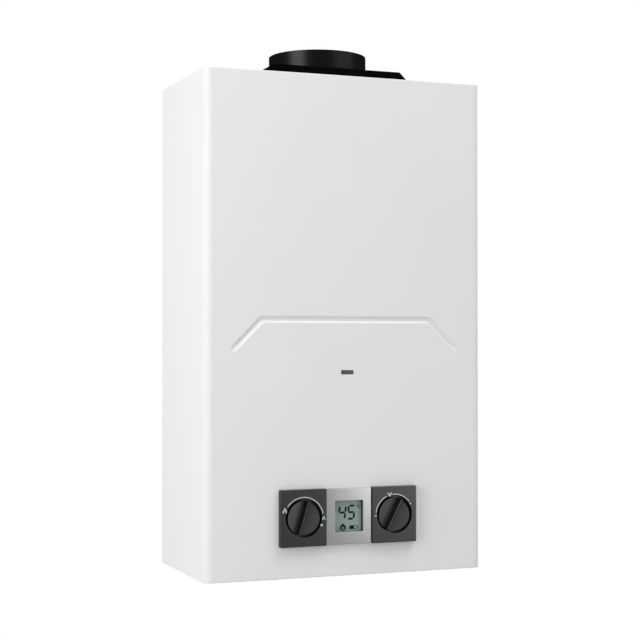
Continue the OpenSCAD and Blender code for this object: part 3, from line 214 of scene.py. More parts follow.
def circle(radius, z, centre, count=128):
    """A level loop of points."""
    return [(centre[0] + radius * math.cos(2 * math.pi * k / count),
             centre[1] + radius * math.sin(2 * math.pi * k / count), z) for k in range(count)]


low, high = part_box("flue_collar")
middle = ((low.x + high.x) / 2, (low.y + high.y) / 2)
bore, outer, flange = 55.2 * MM, 56.0 * MM, (high.x - low.x) / 2
seat = low.z
profile = [
    (bore, seat), (flange - 0.3 * MM, seat), (flange, seat + 0.3 * MM), (flange, seat + 0.6 * MM),
    (flange - 0.2 * MM, seat + 0.8 * MM), (outer + 1.2 * MM, seat + 0.8 * MM),
    (outer + 0.5 * MM, seat + 1.0 * MM), (outer + 0.15 * MM, seat + 1.4 * MM),
    (outer, seat + 2.0 * MM), (outer, seat + 2.4 * MM),
    (outer, high.z - 0.8 * MM), (outer, high.z - 0.4 * MM),
    (outer - 0.12 * MM, high.z - 0.12 * MM), (outer - 0.4 * MM, high.z),
    (bore + 0.12 * MM, high.z - 0.1 * MM), (bore, high.z - 0.4 * MM),
]
collar = skin("flue_collar_rolled", [circle(r, z, middle) for r, z in profile], ring=True)
piece("flue_collar_rolled", collar, "casing", "black_enamel", "flue_collar", materials=[black_enamel])


# Front cover: one deep-drawn steel sheet in white stoved enamel, hung over the chassis like a lid.
# A shallow groove is pressed across the front, and there is a slot to see the flame by.
# The enamel flows out almost flat and leaves a very fine orange peel, some 2 mm from crest to crest.
white_enamel, tree = finish("white stoved enamel")
place = add(tree, "TexCoord").outputs["Object"]
peel = add(tree, "TexNoise", {"Vector": place, "Scale": 1 / (2 * MM), "Detail": 2.0})
cloud = add(tree, "TexNoise", {"Vector": place, "Scale": 1 / (90 * MM), "Detail": 2.0})
tone = add(tree, "Mix", {0: cloud.outputs[0], 6: linear("#EEEEEE"), 7: linear("#F1F1F1")}, data_type="RGBA")
flow = add(tree, "MapRange", {0: peel.outputs[0], 3: 0.3, 4: 0.36})
orange = add(tree, "Bump", {"Height": peel.outputs[0], "Distance": 0.006 * MM, "Strength": 0.3})
shader = add(tree, "BsdfPrincipled", {
    "Base Color": tone.outputs[2],
    "Roughness": flow.outputs[0],
    "Specular IOR Level": 0.05,
    "Normal": orange.outputs[0],
})
add(tree, "OutputMaterial", {0: shader.outputs[0]})

low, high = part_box("front_cover")
half, depth, foot, top = high.x, -low.y, low.z, high.z
edge_r, rim_r, lip = 9 * MM, 1.0 * MM, 14 * MM
notch_x, notch_y = 92.5 * MM, 145 * MM
groove_z, groove_run, groove_drop = foot + 280.8 * MM, 99.5 * MM, 36 * MM
groove_half, groove_deep, groove_flat, groove_fade = 4.0 * MM, 1.6 * MM, 0.25, 11 * MM
groove_end, groove_low, groove_high = 142 * MM, foot + 236 * MM, foot + 290 * MM
sight_z = foot + 223 * MM
panel_z = foot + 65.5 * MM
knob_x = 53.6 * MM

# The front's grid, in mm: how far out each band of columns ends, and how high each band of rows does.
# The second figure is the band's pitch, which is fine round the groove and the cut-outs.
side_points, corner_points = 7, 9
first_front = side_points + corner_points
columns = {0.0}
for edge, pitch in ((12, 1.0), (30, 3.0), (78, 3.0), (90, 3.0), (142, 0.9), (154, 3.0)):
    begin = max(columns)
    columns |= set(np.linspace(begin, edge * MM, max(2, round((edge * MM - begin) / (pitch * MM)) + 1)))
columns = sorted(columns | {-x for x in columns})


def plan(side_x, front_y, corner):
    """The cover's outline seen from above, from the left back edge round the front to the right one."""
    points = [(-side_x, -y) for y in np.linspace(0, front_y - corner, side_points + 1)[:-1]]
    points += [(-side_x + corner - corner * math.cos(a), -front_y + corner - corner * math.sin(a))
               for a in np.linspace(0, math.pi / 2, corner_points)]
    points += [(x * (side_x - corner) / (half - edge_r), -front_y) for x in columns]
    return points + [(-x, y) for x, y in reversed(points[:first_front])]


levels = [foot + rim_r]
heights = ((2, 1), (34, 6), (98, 3), (210, 8), (217, 2), (229, 1),
           (238, 3), (288, 0.6), (300, 3), (548, 8), (549, 1))
for mark, pitch in heights:
    goal = foot + mark * MM
    levels += list(np.linspace(levels[-1], goal, max(2, round((goal - levels[-1]) / (pitch * MM)) + 1)))[1:]
bend = np.linspace(0, math.pi / 2, 7)
stations = [(rim_r * (1 - math.sin(a)), foot + rim_r * (1 - math.cos(a))) for a in bend[:-1]]
stations += [(0.0, z) for z in levels]
stations += [(rim_r * (1 - math.sin(a)), top - rim_r * (1 - math.cos(a))) for a in bend[-2::-1]]
loops = [[(x, y, foot) for x, y in plan(half - lip, depth - lip, 2 * MM)]]
loops += [[(x, y, z) for x, y in plan(half - i, depth - i, edge_r - i)] for i, z in stations]
loops += [[(x, y, top) for x, y in plan(notch_x, notch_y, 3 * MM)]]

# The groove's line: a level run with rounded bends into a slanting leg at each end.
turn_r, turn_steps, leg_steps = 6 * MM, 12, 24
reach = turn_r * math.tan(math.radians(22.5))
slant = math.sqrt(0.5)
line = [(0.0, groove_z)]
for k in range(turn_steps + 1):
    a = math.radians(45 * k / turn_steps)
    line.append((groove_run - reach + turn_r * math.sin(a), groove_z - turn_r + turn_r * math.cos(a)))
leg_x, leg_z = line[-1]
for k in range(1, leg_steps + 1):
    away = k / leg_steps * (groove_drop / slant - reach)
    line.append((leg_x + away * slant, leg_z - away * slant))
line = np.array(line)
legs = np.linalg.norm(np.diff(line, axis=0), axis=1)
run = np.concatenate([[0], np.cumsum(legs)])


def pressed(x, z):
    """How deep the groove is at a place on the front."""
    here = np.array([abs(x), z])
    along = np.clip(((here - line[:-1]) * np.diff(line, axis=0)).sum(1) / legs ** 2, 0, 1)
    gaps = np.linalg.norm(line[:-1] + np.diff(line, axis=0) * along[:, None] - here, axis=1)
    near = int(gaps.argmin())
    share = min(1.0, max(0.0, (gaps[near] / groove_half - groove_flat) / (1 - groove_flat)))
    left = run[-1] - (run[near] + along[near] * legs[near])
    fade = min(1.0, left / groove_fade)
    return groove_deep * (1 - share * share * (3 - 2 * share)) * fade * fade * (3 - 2 * fade)


for loop in loops:
    z = loop[0][2]
    if not groove_low < z < groove_high:
        continue
    for k in range(first_front, first_front + len(columns)):
        x, y, _ = loop[k]
        if abs(x) < groove_end:
            loop[k] = (x, y + pressed(x, z), z)

cover = skin("front_cover_drawn", loops, open_loops=True)


def slot_edge(wide, tall, corner):
    """How far from its middle a rounded slot's edge is, in a direction."""
    def reach_of(angle):
        step = Vector((abs(math.cos(angle)), abs(math.sin(angle))))
        near, far = 0.0, wide + tall
        for _ in range(40):
            here = (near + far) / 2
            past_x, past_z = step.x * here - wide / 2, step.y * here - tall / 2
            out = Vector((max(past_x + corner, 0), max(past_z + corner, 0)))
            inside = max(past_x, past_z) <= 0 and out.length <= corner
            near, far = (here, far) if inside else (near, here)
        return near
    return reach_of


def cut(shaped, x, z, room_x, room_z, reach_of):
    """Opens a hole in the flat front: the grid gives way in its room, and clean faces lead to its edge."""
    gone = []
    for f in shaped.faces:
        at = f.calc_center_median()
        if abs(at.x - x) < room_x and abs(at.z - z) < room_z and at.y < -depth + 1 * MM:
            gone.append(f)
    grid = {v for f in gone for v in f.verts}
    bmesh.ops.delete(shaped, geom=gone, context="FACES")
    rim = sorted((v for v in grid if v.is_valid), key=lambda v: math.atan2(v.co.z - z, v.co.x - x))
    angles = [math.atan2(v.co.z - z, v.co.x - x) for v in rim]
    edge = [shaped.verts.new((x + reach_of(a) * math.cos(a), -depth, z + reach_of(a) * math.sin(a)))
            for a in angles]
    for k in range(len(rim)):
        j = (k + 1) % len(rim)
        shaped.faces.new((rim[k], rim[j], edge[j], edge[k]))


shaped = bmesh.new()
shaped.from_mesh(cover)
shaped.normal_update()
sight_w, sight_h, sight_corner = 15 * MM, 4.8 * MM, 0.5 * MM
display_w, display_h, display_corner = 38.4 * MM, 39.4 * MM, 1.0 * MM
knob_hole_r = 22.2 * MM
cut(shaped, 0, sight_z, 10.2 * MM, 4.6 * MM, slot_edge(sight_w, sight_h, sight_corner))
cut(shaped, 0, panel_z, 23 * MM, 23 * MM, slot_edge(display_w, display_h, display_corner))
for x in (-knob_x, knob_x):
    cut(shaped, x, panel_z, 23.2 * MM, 24 * MM, lambda a: knob_hole_r)
shaped.to_mesh(cover)
shaped.free()
cover_piece = piece("front_cover_drawn", cover, "casing", "white_enamel", "front_cover",
                    materials=[white_enamel])
sheet = cover_piece.modifiers.new("sheet thickness", "SOLIDIFY")
sheet.thickness = 1 * MM
sheet.offset = -1
sheet.use_even_offset = True
crisp = cover_piece.modifiers.new("crisp cut edges", "EDGE_SPLIT")
crisp.split_angle = math.radians(sharp_angle)
dress(white_enamel, "battery_door")


# Sight glass: a strip of heat-proof glass behind the slot, drawn opaque in a dark grey that is painted shade
# for the chamber seen through it.
# Its face is smooth, with a faint unevenness from rolling, so it mirrors the room weakly.
sight_glass_painted_dark = mottled("sight glass painted dark", 6 * MM, 1.0, ("#272A2A", "#303333"), 0.18,
                       {"Specular IOR Level": 0.35})
dress(sight_glass_painted_dark, "sight_glass")


# Dial plates: two moulded plates in dark ABS, screwed from behind, each with a round well for its knob.
# The tool is spark eroded, so the faces have a fine even grain that spreads the room's reflection.
dark_plastic = mottled("grained dark ABS", 0.35 * MM, 3.0, ("#08090A", "#0F1011"), 0.3,
                       {"Specular IOR Level": 0.38}, (0.02 * MM, 0.3))
dress(dark_plastic, "panel_carrier")


def rounded(wide, tall, corner, pitch=3 * MM):
    """The outline of a rectangle with rounded corners, from its right side round by the top."""
    arcs = []
    for k, (sx, sz) in enumerate(((1, 1), (-1, 1), (-1, -1), (1, -1))):
        turns = np.radians(np.linspace(90 * k, 90 * k + 90, 9))
        arcs.append([(sx * (wide / 2 - corner) + corner * math.cos(a),
                      sz * (tall / 2 - corner) + corner * math.sin(a)) for a in turns])
    points = []
    for arc, following in zip(arcs, arcs[1:] + arcs[:1]):
        (ax, az), (bx, bz) = arc[-1], following[0]
        extra = max(1, round(math.hypot(bx - ax, bz - az) / pitch))
        points += arc
        points += [(ax + (bx - ax) * k / extra, az + (bz - az) * k / extra) for k in range(1, extra)]
    return points


def plate(name, node, corner, edge, hole, slot, materials):
    """A moulded plate with a rounded front edge and a hole, whose wall takes the last material."""
    low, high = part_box(node)
    x, z = (low.x + high.x) / 2, (low.z + high.z) / 2
    rim = rounded(high.x - low.x, high.z - low.z, corner)
    loops = [[(x + px, high.y, z + pz) for px, pz in rim]]
    for k in range(7):
        a = math.radians(15 * k)
        shrink = edge * (1 - math.cos(a))
        scale_x = 1 - 2 * shrink / (high.x - low.x)
        scale_z = 1 - 2 * shrink / (high.z - low.z)
        y = low.y + edge * (1 - math.sin(a))
        loops.append([(x + px * scale_x, y, z + pz * scale_z) for px, pz in rim])
    flat_x, flat_z = (1 - 2 * (edge + 0.15 * MM) / side for side in (high.x - low.x, high.z - low.z))
    loops.append([(x + px * flat_x, low.y, z + pz * flat_z) for px, pz in rim])
    for grow, y in ((0.55 * MM, low.y), (0.4 * MM, low.y), (0.12 * MM, low.y + 0.12 * MM),
                    (0, low.y + 0.4 * MM), (0, low.y + 0.6 * MM), (0, high.y)):
        loops.append([(x + hx, y, z + hz) for hx, hz in (hole(px, pz, grow) for px, pz in rim)])
    mesh = skin(name, loops, ring=True)
    wall = len(loops) - 2
    for face in mesh.polygons:
        face.material_index = len(materials) - 1 if face.index // len(rim) == wall else 0
    return piece(name, mesh, "casing", slot, node, materials=materials)


well_r = 21 * MM


def well(x, z, grow):
    """The point of the knob's well in the direction of a point of the rim."""
    scale = (well_r + grow) / math.hypot(x, z)
    return x * scale, z * scale


plate("gas_dial_plate_moulded", "gas_dial_plate", 1 * MM, 0.5 * MM, well, "dark_plastic", [dark_plastic])
plate("water_dial_plate_moulded", "water_dial_plate", 1 * MM, 0.5 * MM, well, "dark_plastic", [dark_plastic])


# Dial marks: pale ink, pad printed on the plates as an arc to follow and a sign at each end of it.
# The ink is a little thin and uneven, so the dark plate shows through it in specks.
print_ink = mottled("pale pad printing ink", 0.5 * MM, 2.0, ("#A9ABAB", "#D8D9D9"), 0.5)
ink_t, arc_w = 0.04 * MM, 0.95 * MM


def printed(name, shapes, y, slot, material):
    """Thin prints on a front: each shape is a closed outline, or an outline and its hole."""
    points, faces = [], []
    for shape in shapes:
        rims = shape if isinstance(shape, tuple) else (shape,)
        count = len(rims[0])
        base = len(points)
        for level in (y, y - ink_t):
            for rim in rims:
                points += [(px, level, pz) for px, pz in rim]
        size = count * len(rims)
        for r, rim in enumerate(rims):
            for k in range(count):
                j = (k + 1) % count
                start = base + r * count
                faces.append((start + k, start + j, start + size + j, start + size + k))
        for layer in (base, base + size):
            if len(rims) == 2:
                for k in range(count):
                    j = (k + 1) % count
                    faces.append((layer + k, layer + j, layer + count + j, layer + count + k))
            else:
                faces.append(tuple(range(layer, layer + count)))
    mesh = bpy.data.meshes.new(name)
    mesh.from_pydata(points, [], faces)
    return piece(name, mesh, "casing", slot, materials=[material])


def arc_band(x, z, radius, wide, begin, end):
    """A bent bar along a dial, its angles counted clockwise from the top."""
    turns = np.radians(np.linspace(begin, end, 2 + int(abs(end - begin) / 4)))
    outside = [(x + (radius + wide / 2) * math.sin(a), z + (radius + wide / 2) * math.cos(a)) for a in turns]
    inside = [(x + (radius - wide / 2) * math.sin(a), z + (radius - wide / 2) * math.cos(a)) for a in turns]
    return outside + inside[::-1]


def sign(x, radius, angle, shape, size=1.0):
    """A sign, drawn in mm, beside a dial at an angle counted clockwise from the top."""
    sign_x = x + radius * math.sin(math.radians(angle))
    sign_z = panel_z + radius * math.cos(math.radians(angle))
    return [(sign_x + px * size * MM, sign_z + pz * size * MM) for px, pz in shape]


low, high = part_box("gas_dial_plate")
dial_front = low.y
round_turns = np.radians(np.arange(0, 360, 18))
tongues = ((0.3, 3.2), (1.2, 1.3), (2.2, -0.4), (2.5, -1.8), (2.1, -3.0), (1.0, -3.1), (1.2, -1.9),
           (0.1, 0.2), (-1.0, -1.7), (-1.1, -3.0), (-2.3, -3.0), (-2.6, -1.8), (-2.1, -0.4), (-0.8, 1.3))
dot = [(1.4 * math.cos(a), 1.4 * math.sin(a)) for a in round_turns]
printed("gas_dial_marks", [
    arc_band(-knob_x, panel_z, 22.7 * MM, arc_w, -56, 79),
    sign(-knob_x, 23.9 * MM, -67, tongues),
    sign(-knob_x, 23 * MM, 91, tongues, 0.72),
    sign(-knob_x, 22.2 * MM, 111.5, dot),
], dial_front, "dark_plastic", print_ink)

spout = ((-3.0, 1.5), (-1.5, 2.0), (-0.3, -0.3), (0.6, 1.9), (2.0, 2.5), (2.8, 1.4), (1.6, 0.9), (1.2, -1.2),
         (0.2, -2.1), (-1.2, -1.5))
printed("water_dial_marks", [
    arc_band(knob_x, panel_z, 22.3 * MM, arc_w, -84, -25),
    arc_band(knob_x, panel_z, 22.3 * MM, arc_w, -6, 53),
    sign(knob_x, 22.6 * MM, -92, ((-1.3, -0.5), (1.3, -0.5), (1.3, 0.5), (-1.3, 0.5))),
    sign(knob_x, 22.6 * MM, -14, spout),
    sign(knob_x, 22.3 * MM, 60, ((-1, -1), (1, -1), (1, 1), (-1, 1)), 0.8),
], dial_front, "dark_plastic", print_ink)


# Knobs: moulded in satin dark plastic, with two half-moon hollows that slope down to a grip blade.
# The hollows and the blade's ridge are fine satin. The blade's flanks and the hollows just beside them are
# nearly black, a painted shade, and so are the rim and sides.
knob_satin = mottled("satin knob plastic", 0.25 * MM, 3.0, ("#2A2B2C", "#343536"), 0.36,
                     {"Specular IOR Level": 0.35}, (0.012 * MM, 0.25))
knob_painted_shade = near_black("knob plastic painted dark as shade", 0.3 * MM, 3.0, ("#0A0A0B", "#111112"), 0.006, 0.5)

blade_half, blade_foot, hollow = 1.5 * MM, 3.2 * MM, 5.5 * MM
ridge_half, shade_band_end = 0.6 * MM, 3.6 * MM
knob_r, knob_edge, disc_t = 18.8 * MM, 1.0 * MM, 8.1 * MM
hub_r, socket_r, socket_deep = 6 * MM, 3 * MM, 9 * MM


def soft_least(a, b, soft):
    """The smaller of two values, with a smooth change from one to the other."""
    share = min(1.0, max(0.0, 0.5 + 0.5 * (b - a) / soft))
    return b + (a - b) * share - soft * share * (1 - share)


def knob_depth(u):
    """How far the knob's face lies behind its front, across the blade."""
    flank = hollow * (abs(u) - blade_half) / (blade_foot - blade_half)
    slope = hollow - (hollow - knob_edge) * (abs(u) - blade_foot) / (knob_r + 1 * MM - blade_foot)
    return -soft_least(-soft_least(flank, slope, 2.4 * MM), 0.0, 0.25 * MM)


def knob(name, node, body, x, turn):
    """One knob: its face in strips along the blade, then its rim, back, hub and spindle socket."""
    low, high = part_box(node)
    face_r = knob_r - 0.5 * MM
    across = set(np.linspace(0, 4, 33) * MM) | set(np.linspace(4.4 * MM, face_r, 26))
    across = sorted(across | {-u for u in across})
    c, s = math.cos(math.radians(turn)), math.sin(math.radians(turn))
    loops = []
    for u in across:
        chord = math.sqrt(max(face_r ** 2 - u * u, 0))
        strip = [(u, chord * math.sin(math.pi / 2 * t)) for t in np.linspace(-1, 1, 25)]
        loops.append([(x + a * c + b * s, low.y + knob_depth(u), panel_z - a * s + b * c) for a, b in strip])
    shaped = bmesh.new()
    shaped.from_mesh(skin(name, loops, open_loops=True))
    bmesh.ops.remove_doubles(shaped, verts=shaped.verts, dist=weld)
    rim = {v for e in shaped.edges if e.is_boundary for v in e.verts}
    rim = sorted(rim, key=lambda v: math.atan2(v.co.z - panel_z, v.co.x - x))
    back = low.y + disc_t
    steps = [(knob_r - 0.15 * MM, 0.15 * MM, None), (knob_r, 0.5 * MM, None), (knob_r, 0, back),
             (hub_r, 0, back), (hub_r, 0, high.y), (socket_r, 0, high.y), (socket_r, 0, high.y - socket_deep)]
    last = rim
    for radius, drop, y in steps:
        fresh = []
        for v in rim:
            a = math.atan2(v.co.z - panel_z, v.co.x - x)
            fresh.append(shaped.verts.new((x + radius * math.cos(a), v.co.y + drop if y is None else y,
                                           panel_z + radius * math.sin(a))))
        for k in range(len(rim)):
            j = (k + 1) % len(rim)
            shaped.faces.new((last[k], last[j], fresh[j], fresh[k]))
        last = fresh
    shaped.faces.new(last)
    for f in shaped.faces:
        at = f.calc_center_median()
        u = (at.x - x) * c - (at.z - panel_z) * s
        # Painted shade: the blade's flanks and the hollows just beside them take the near-black plastic,
        # standing in for the shade beside the blade. The rim and sides take it as well.
        flank = ridge_half < abs(u) < shade_band_end
        side = math.hypot(at.x - x, at.z - panel_z) > face_r
        f.material_index = 1 if flank or side else 0
    mesh = bpy.data.meshes.new(name)
    shaped.to_mesh(mesh)
    shaped.free()
    return piece(name, mesh, body, "knob_plastic", node, materials=[knob_satin, knob_painted_shade], sharp=40)


knob("gas_knob_moulded", "gas_knob", "gas_knob", -knob_x, 17.6)
knob("water_knob_moulded", "water_knob", "water_knob", knob_x, 27.7)


# Display bezel: moulded plate with a brushed metal foil between the dials, and a deep dark-walled window.
# The foil is brushed across. Its colour carries a painted sheen and shade, from dull at the lower left to
# bright at the upper right.
brushed_foil_painted_sheen, tree = finish("brushed silver foil with painted sheen")
place = add(tree, "TexCoord").outputs["Object"]
stretch = add(tree, "Mapping", {"Vector": place, "Scale": (1 / (25 * MM), 1 / (1 * MM), 1 / (0.35 * MM))})
brush = add(tree, "TexNoise", {"Vector": stretch.outputs[0], "Scale": 1.0, "Detail": 3.0})
axes = add(tree, "SeparateXYZ", {0: place})
# Painted sheen and shadow: the tone brightens to the right and upward, standing in for the foil's reflection
# and the shade cast by the left plate.
across = add(tree, "MapRange", {0: axes.outputs[0], 1: -27 * MM, 2: 27 * MM, 3: 0.0, 4: 1.0})
upward = add(tree, "MapRange", {
    0: axes.outputs[2],
    1: panel_z - 30 * MM,
    2: panel_z + 30 * MM,
    3: 0.3,
    4: 1.0,
})
painted_sheen = add(tree, "Math", {0: across.outputs[0], 1: upward.outputs[0]}, operation="MULTIPLY")
painted_sheen_tone = add(tree, "Mix", {0: painted_sheen.outputs[0], 6: linear("#747575"), 7: linear("#969797")}, data_type="RGBA")
lines = add(tree, "MapRange", {0: brush.outputs[0], 3: 0.92, 4: 1.08})
tone = add(tree, "Mix", {0: 1.0, 6: painted_sheen_tone.outputs[2], 7: lines.outputs[0]},
           data_type="RGBA", blend_type="MULTIPLY")
dull = add(tree, "MapRange", {0: brush.outputs[0], 3: 0.26, 4: 0.36})
shader = add(tree, "BsdfPrincipled", {
    "Base Color": tone.outputs[2],
    "Metallic": 1.0,
    "Roughness": dull.outputs[0],
})
add(tree, "OutputMaterial", {0: shader.outputs[0]})
window_w, window_h = 33 * MM, 34 * MM


def window(x, z, grow):
    """The point of the display's window in the direction of a point of the rim."""
    reach_of = slot_edge(window_w + 2 * grow, window_h + 2 * grow, 1.0 * MM + grow)
    a = math.atan2(z, x)
    return reach_of(a) * math.cos(a), reach_of(a) * math.sin(a)


plate("display_bezel_moulded", "display_bezel", 0.5 * MM, 0.4 * MM, window, "silver_plastic",
      [brushed_foil_painted_sheen, dark_plastic])


# Display: a liquid crystal cell behind a clear pane, with a pale grey-green ground and dark segments.
# The ground has the faint mottle of its reflector foil, and the segments are lightly raised to the eye.
crystal_ground = mottled("liquid crystal ground", 0.6 * MM, 2.0, ("#7E948F", "#93A8A3"), 0.3,
                         {"Specular IOR Level": 0.3})
crystal_dark = mottled("switched liquid crystal", 0.4 * MM, 2.0, ("#0B0F0E", "#121716"), 0.5,
                       {"Specular IOR Level": 0.06})
crystal_faint = mottled("half switched liquid crystal", 0.4 * MM, 2.0, ("#1C2422", "#26302D"), 0.35,
                        {"Specular IOR Level": 0.3})

low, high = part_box("display_glass")
pane = rounded(high.x - low.x, high.z - low.z, 1 * MM)
pane_z = (low.z + high.z) / 2
bevel, pane_half = 0.3 * MM, 19 * MM
loops = []
for shrink, y in ((bevel, high.y), (0, high.y - bevel), (0, low.y + bevel), (bevel, low.y),
                  (8 * MM, low.y), (pane_half, low.y)):
    scale = 1 - shrink / pane_half
    loops.append([(px * scale, y, pane_z + pz * scale) for px, pz in pane])
loops.append([(0, high.y, pane_z) for _ in pane])
display = skin("display_cell", loops, ring=True)
piece("display_cell", display, "casing", "display_glass", "display_glass", materials=[crystal_ground])

stroke, digit_w, digit_h, slope, stroke_gap = 2.3 * MM, 7.2 * MM, 14.3 * MM, 0.13, 0.25 * MM
SEGMENTS = {
    "top": ((0, 1), (1, 1)), "mid": ((0, 0.5), (1, 0.5)), "low": ((0, 0), (1, 0)),
    "upper left": ((0, 0.5), (0, 1)), "upper right": ((1, 0.5), (1, 1)),
    "lower right": ((1, 0), (1, 0.5)),
}


def segments(x, z, names):
    """The lit segments of a digit that leans to the right, as outlines with pointed ends."""
    outlines = []
    for name in names:
        (ax, az), (bx, bz) = SEGMENTS[name]
        start, end = Vector((ax * digit_w, az * digit_h)), Vector((bx * digit_w, bz * digit_h))
        run = (end - start).normalized()
        side = Vector((-run.y, run.x)) * stroke / 2
        start, end = start + run * stroke_gap, end - run * stroke_gap
        tip = run * stroke / 2
        rim = [start, start + tip + side, end - tip + side, end, end - tip - side, start + tip - side]
        outlines.append([(x + p.x + slope * p.y, z + p.y) for p in rim])
    return outlines


def flame(x, z, tall, plump):
    """A flame's outline, broad at the foot and pointed at the tip."""
    rim = []
    for k in range(32):
        a = 2 * math.pi * k / 32
        up = (1 - math.cos(a)) / 2
        wide = math.copysign(2 * plump * math.sqrt(up) * (1 - up), math.sin(a))
        rim.append((x + tall * wide, z + tall * (up - 0.5)))
    return rim


left, top_z = -window_w / 2, panel_z + window_h / 2
digit_z = top_z - 20.5 * MM
marks = segments(left + 5.9 * MM, digit_z, ("upper left", "mid", "upper right", "lower right"))
marks += segments(left + 16.6 * MM, digit_z, ("top", "upper left", "mid", "lower right", "low"))
fire_x, fire_z = left + 11.2 * MM, top_z - 29.2 * MM
marks.append((flame(fire_x, fire_z, 8.2 * MM, 0.6), flame(fire_x, fire_z - 1.6 * MM, 4.2 * MM, 0.6)))
marks.append(flame(fire_x, fire_z - 2.5 * MM, 2.9 * MM, 0.5))
power_x, power_z, power_w, power_h = left + 23.6 * MM, top_z - 29.9 * MM, 9.4 * MM, 3.9 * MM
case = rounded(power_w, power_h, 0.4 * MM)
marks.append((
    [(power_x + px, power_z + pz) for px, pz in case],
    [(power_x + px * 0.88, power_z + pz * 0.72) for px, pz in case],
))
pole, charge = rounded(0.8 * MM, 1.8 * MM, 0.2 * MM), rounded(5.2 * MM, 2.9 * MM, 0.2 * MM)
marks.append([(power_x + power_w / 2 + 0.4 * MM + px, power_z + pz) for px, pz in pole])
marks.append([(power_x - 1.7 * MM + px, power_z + pz) for px, pz in charge])
printed("display_segments", marks, low.y, "display_glass", crystal_dark)
ring_x, ring_z = left + 28.2 * MM, top_z - 6.2 * MM
unit = [(
    [(ring_x + 0.95 * MM * math.cos(a), ring_z + 0.95 * MM * math.sin(a)) for a in round_turns],
    [(ring_x + 0.3 * MM * math.cos(a), ring_z + 0.3 * MM * math.sin(a)) for a in round_turns],
)]
unit.append(arc_band(ring_x + 2.6 * MM, ring_z - 1.3 * MM, 1.6 * MM, 0.8 * MM, 125, 415))
printed("display_unit", unit, low.y, "display_glass", crystal_faint)


# Copper: the heat exchanger's chamber, fins and tubes, with the coil and the two water pipes.
# It is drawn copper, brazed and then tarnished by heat, so brown films drift over the bright metal.
copper = mottled("heat tarnished copper", 28 * MM, 5.0, ("#8A4F36", "#D08A64"), (0.5, 0.28),
                 {"Metallic": 1.0})
dress(copper, "combustion_chamber", "heat_fins", "fin_tubes", "chamber_coil", "cold_riser", "hot_pipe")


# Burner, bracket, lever and contacts: cold-rolled stainless strip, folded and spot welded.
# The push rod and the plunger are drawn bar. The fine lines along the metal pull highlights sideways.
stainless, tree = finish("rolled stainless steel")
place = add(tree, "TexCoord").outputs["Object"]
stretch = add(tree, "Mapping", {"Vector": place, "Scale": (1 / (30 * MM), 1 / (0.4 * MM), 1 / (0.4 * MM))})
lines = add(tree, "TexNoise", {"Vector": stretch.outputs[0], "Scale": 1.0, "Detail": 3.0})
tone = add(tree, "Mix", {0: lines.outputs[0], 6: linear("#A5A29D"), 7: linear("#C4C1BC")}, data_type="RGBA")
dull = add(tree, "MapRange", {0: lines.outputs[0], 3: 0.24, 4: 0.38})
shader = add(tree, "BsdfPrincipled", {
    "Base Color": tone.outputs[2],
    "Metallic": 1.0,
    "Roughness": dull.outputs[0],
})
add(tree, "OutputMaterial", {0: shader.outputs[0]})
dress(stainless, "burner_frame", "burner_bars", "electrode_bracket", "push_rod", "switch_lever",
      "solenoid_plunger", "battery_contacts")


# Rod spring: round stainless wire wound on the push rod, with its end turns closed.
# It shortens against the fixed end as the rod moves in, but here it is drawn at rest.
low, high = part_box("rod_spring")
wire_r, turns, closed_turns = 0.5 * MM, 6, 0.75
coil_r = (high.z - low.z) / 2 - wire_r
mid_y, mid_z = (low.y + high.y) / 2, (low.z + high.z) / 2
begin, end = low.x + wire_r, high.x - wire_r
steps, ring_points = 44 * turns, 10
loops = []
for k in range(steps + 1):
    share = k / steps
    a = 2 * math.pi * turns * share
    lead = closed_turns / turns
    free = min(1.0, max(0.0, (share - lead) / (1 - 2 * lead)))
    wound = 2 * wire_r * closed_turns
    along = begin + wound * min(share / lead, 1) + (end - begin - 2 * wound) * free
    along += wound * max(0.0, (share - 1 + lead) / lead)
    out = Vector((0, math.cos(a), math.sin(a)))
    hub = Vector((along, mid_y, mid_z)) + out * coil_r
    loops.append([hub + wire_r * (out * math.cos(b) + Vector((1, 0, 0)) * math.sin(b))
                  for b in np.linspace(0, 2 * math.pi, ring_points, endpoint=False)])
spring_mesh = skin("rod_spring_wound", loops)
caps = bmesh.new()
caps.from_mesh(spring_mesh)
caps.verts.ensure_lookup_table()
caps.faces.new(list(caps.verts)[:ring_points])
caps.faces.new(list(caps.verts)[-ring_points:])
caps.to_mesh(spring_mesh)
caps.free()
spring = piece("rod_spring_wound", spring_mesh, "casing", "stainless_steel", "rod_spring",
               materials=[stainless])
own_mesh(spring)


# Gas valve, manifold and riser: aluminium die castings, screwed together over flat seals.
# They are left as cast, so their skin is matt and slightly grainy.
cast_aluminium = mottled("die cast aluminium", 1.5 * MM, 5.0, ("#94979A", "#B4B7BA"), 0.5,
                         {"Metallic": 1.0}, (0.06 * MM, 0.4))
dress(cast_aluminium, "gas_manifold", "gas_valve_body", "gas_riser")


# Brass fittings: injectors, spindles and the water valve, turned or hot pressed and screwed in place.
# A thin brown bloom drifts over the metal and dulls it.
brass = mottled("turned brass", 7 * MM, 4.0, ("#A2814A", "#CDAE6E"), (0.42, 0.26), {"Metallic": 1.0})
dress(brass, "gas_injectors", "gas_spindle", "water_spindle", "water_valve_body", "diaphragm_cover",
      "drain_plug")


# Pipe stubs: brass bar, turned with a G1/2 thread below a hexagon and a plain neck up into the case.
# The hot one ends in a nut. The hexagons sit at the bottom plate.
pitch, thread_deep, thread_r, sides = 1.814 * MM, 1.16 * MM, 10.48 * MM, 72
hex_w, hex_corner, hex_end = 27 * MM, 15.2 * MM, 13.6 * MM
nut_w, nut_corner, nut_end = 24 * MM, 13.6 * MM, 12.2 * MM
neck_r, hex_bevel = 9.5 * MM, 0.6 * MM


def flats(width, angle, round_r):
    """A hexagon's edge in a direction, with its corners turned down to a radius."""
    turned = (angle + math.pi / 6) % (math.pi / 3) - math.pi / 6
    return min(width / 2 / math.cos(turned), round_r)


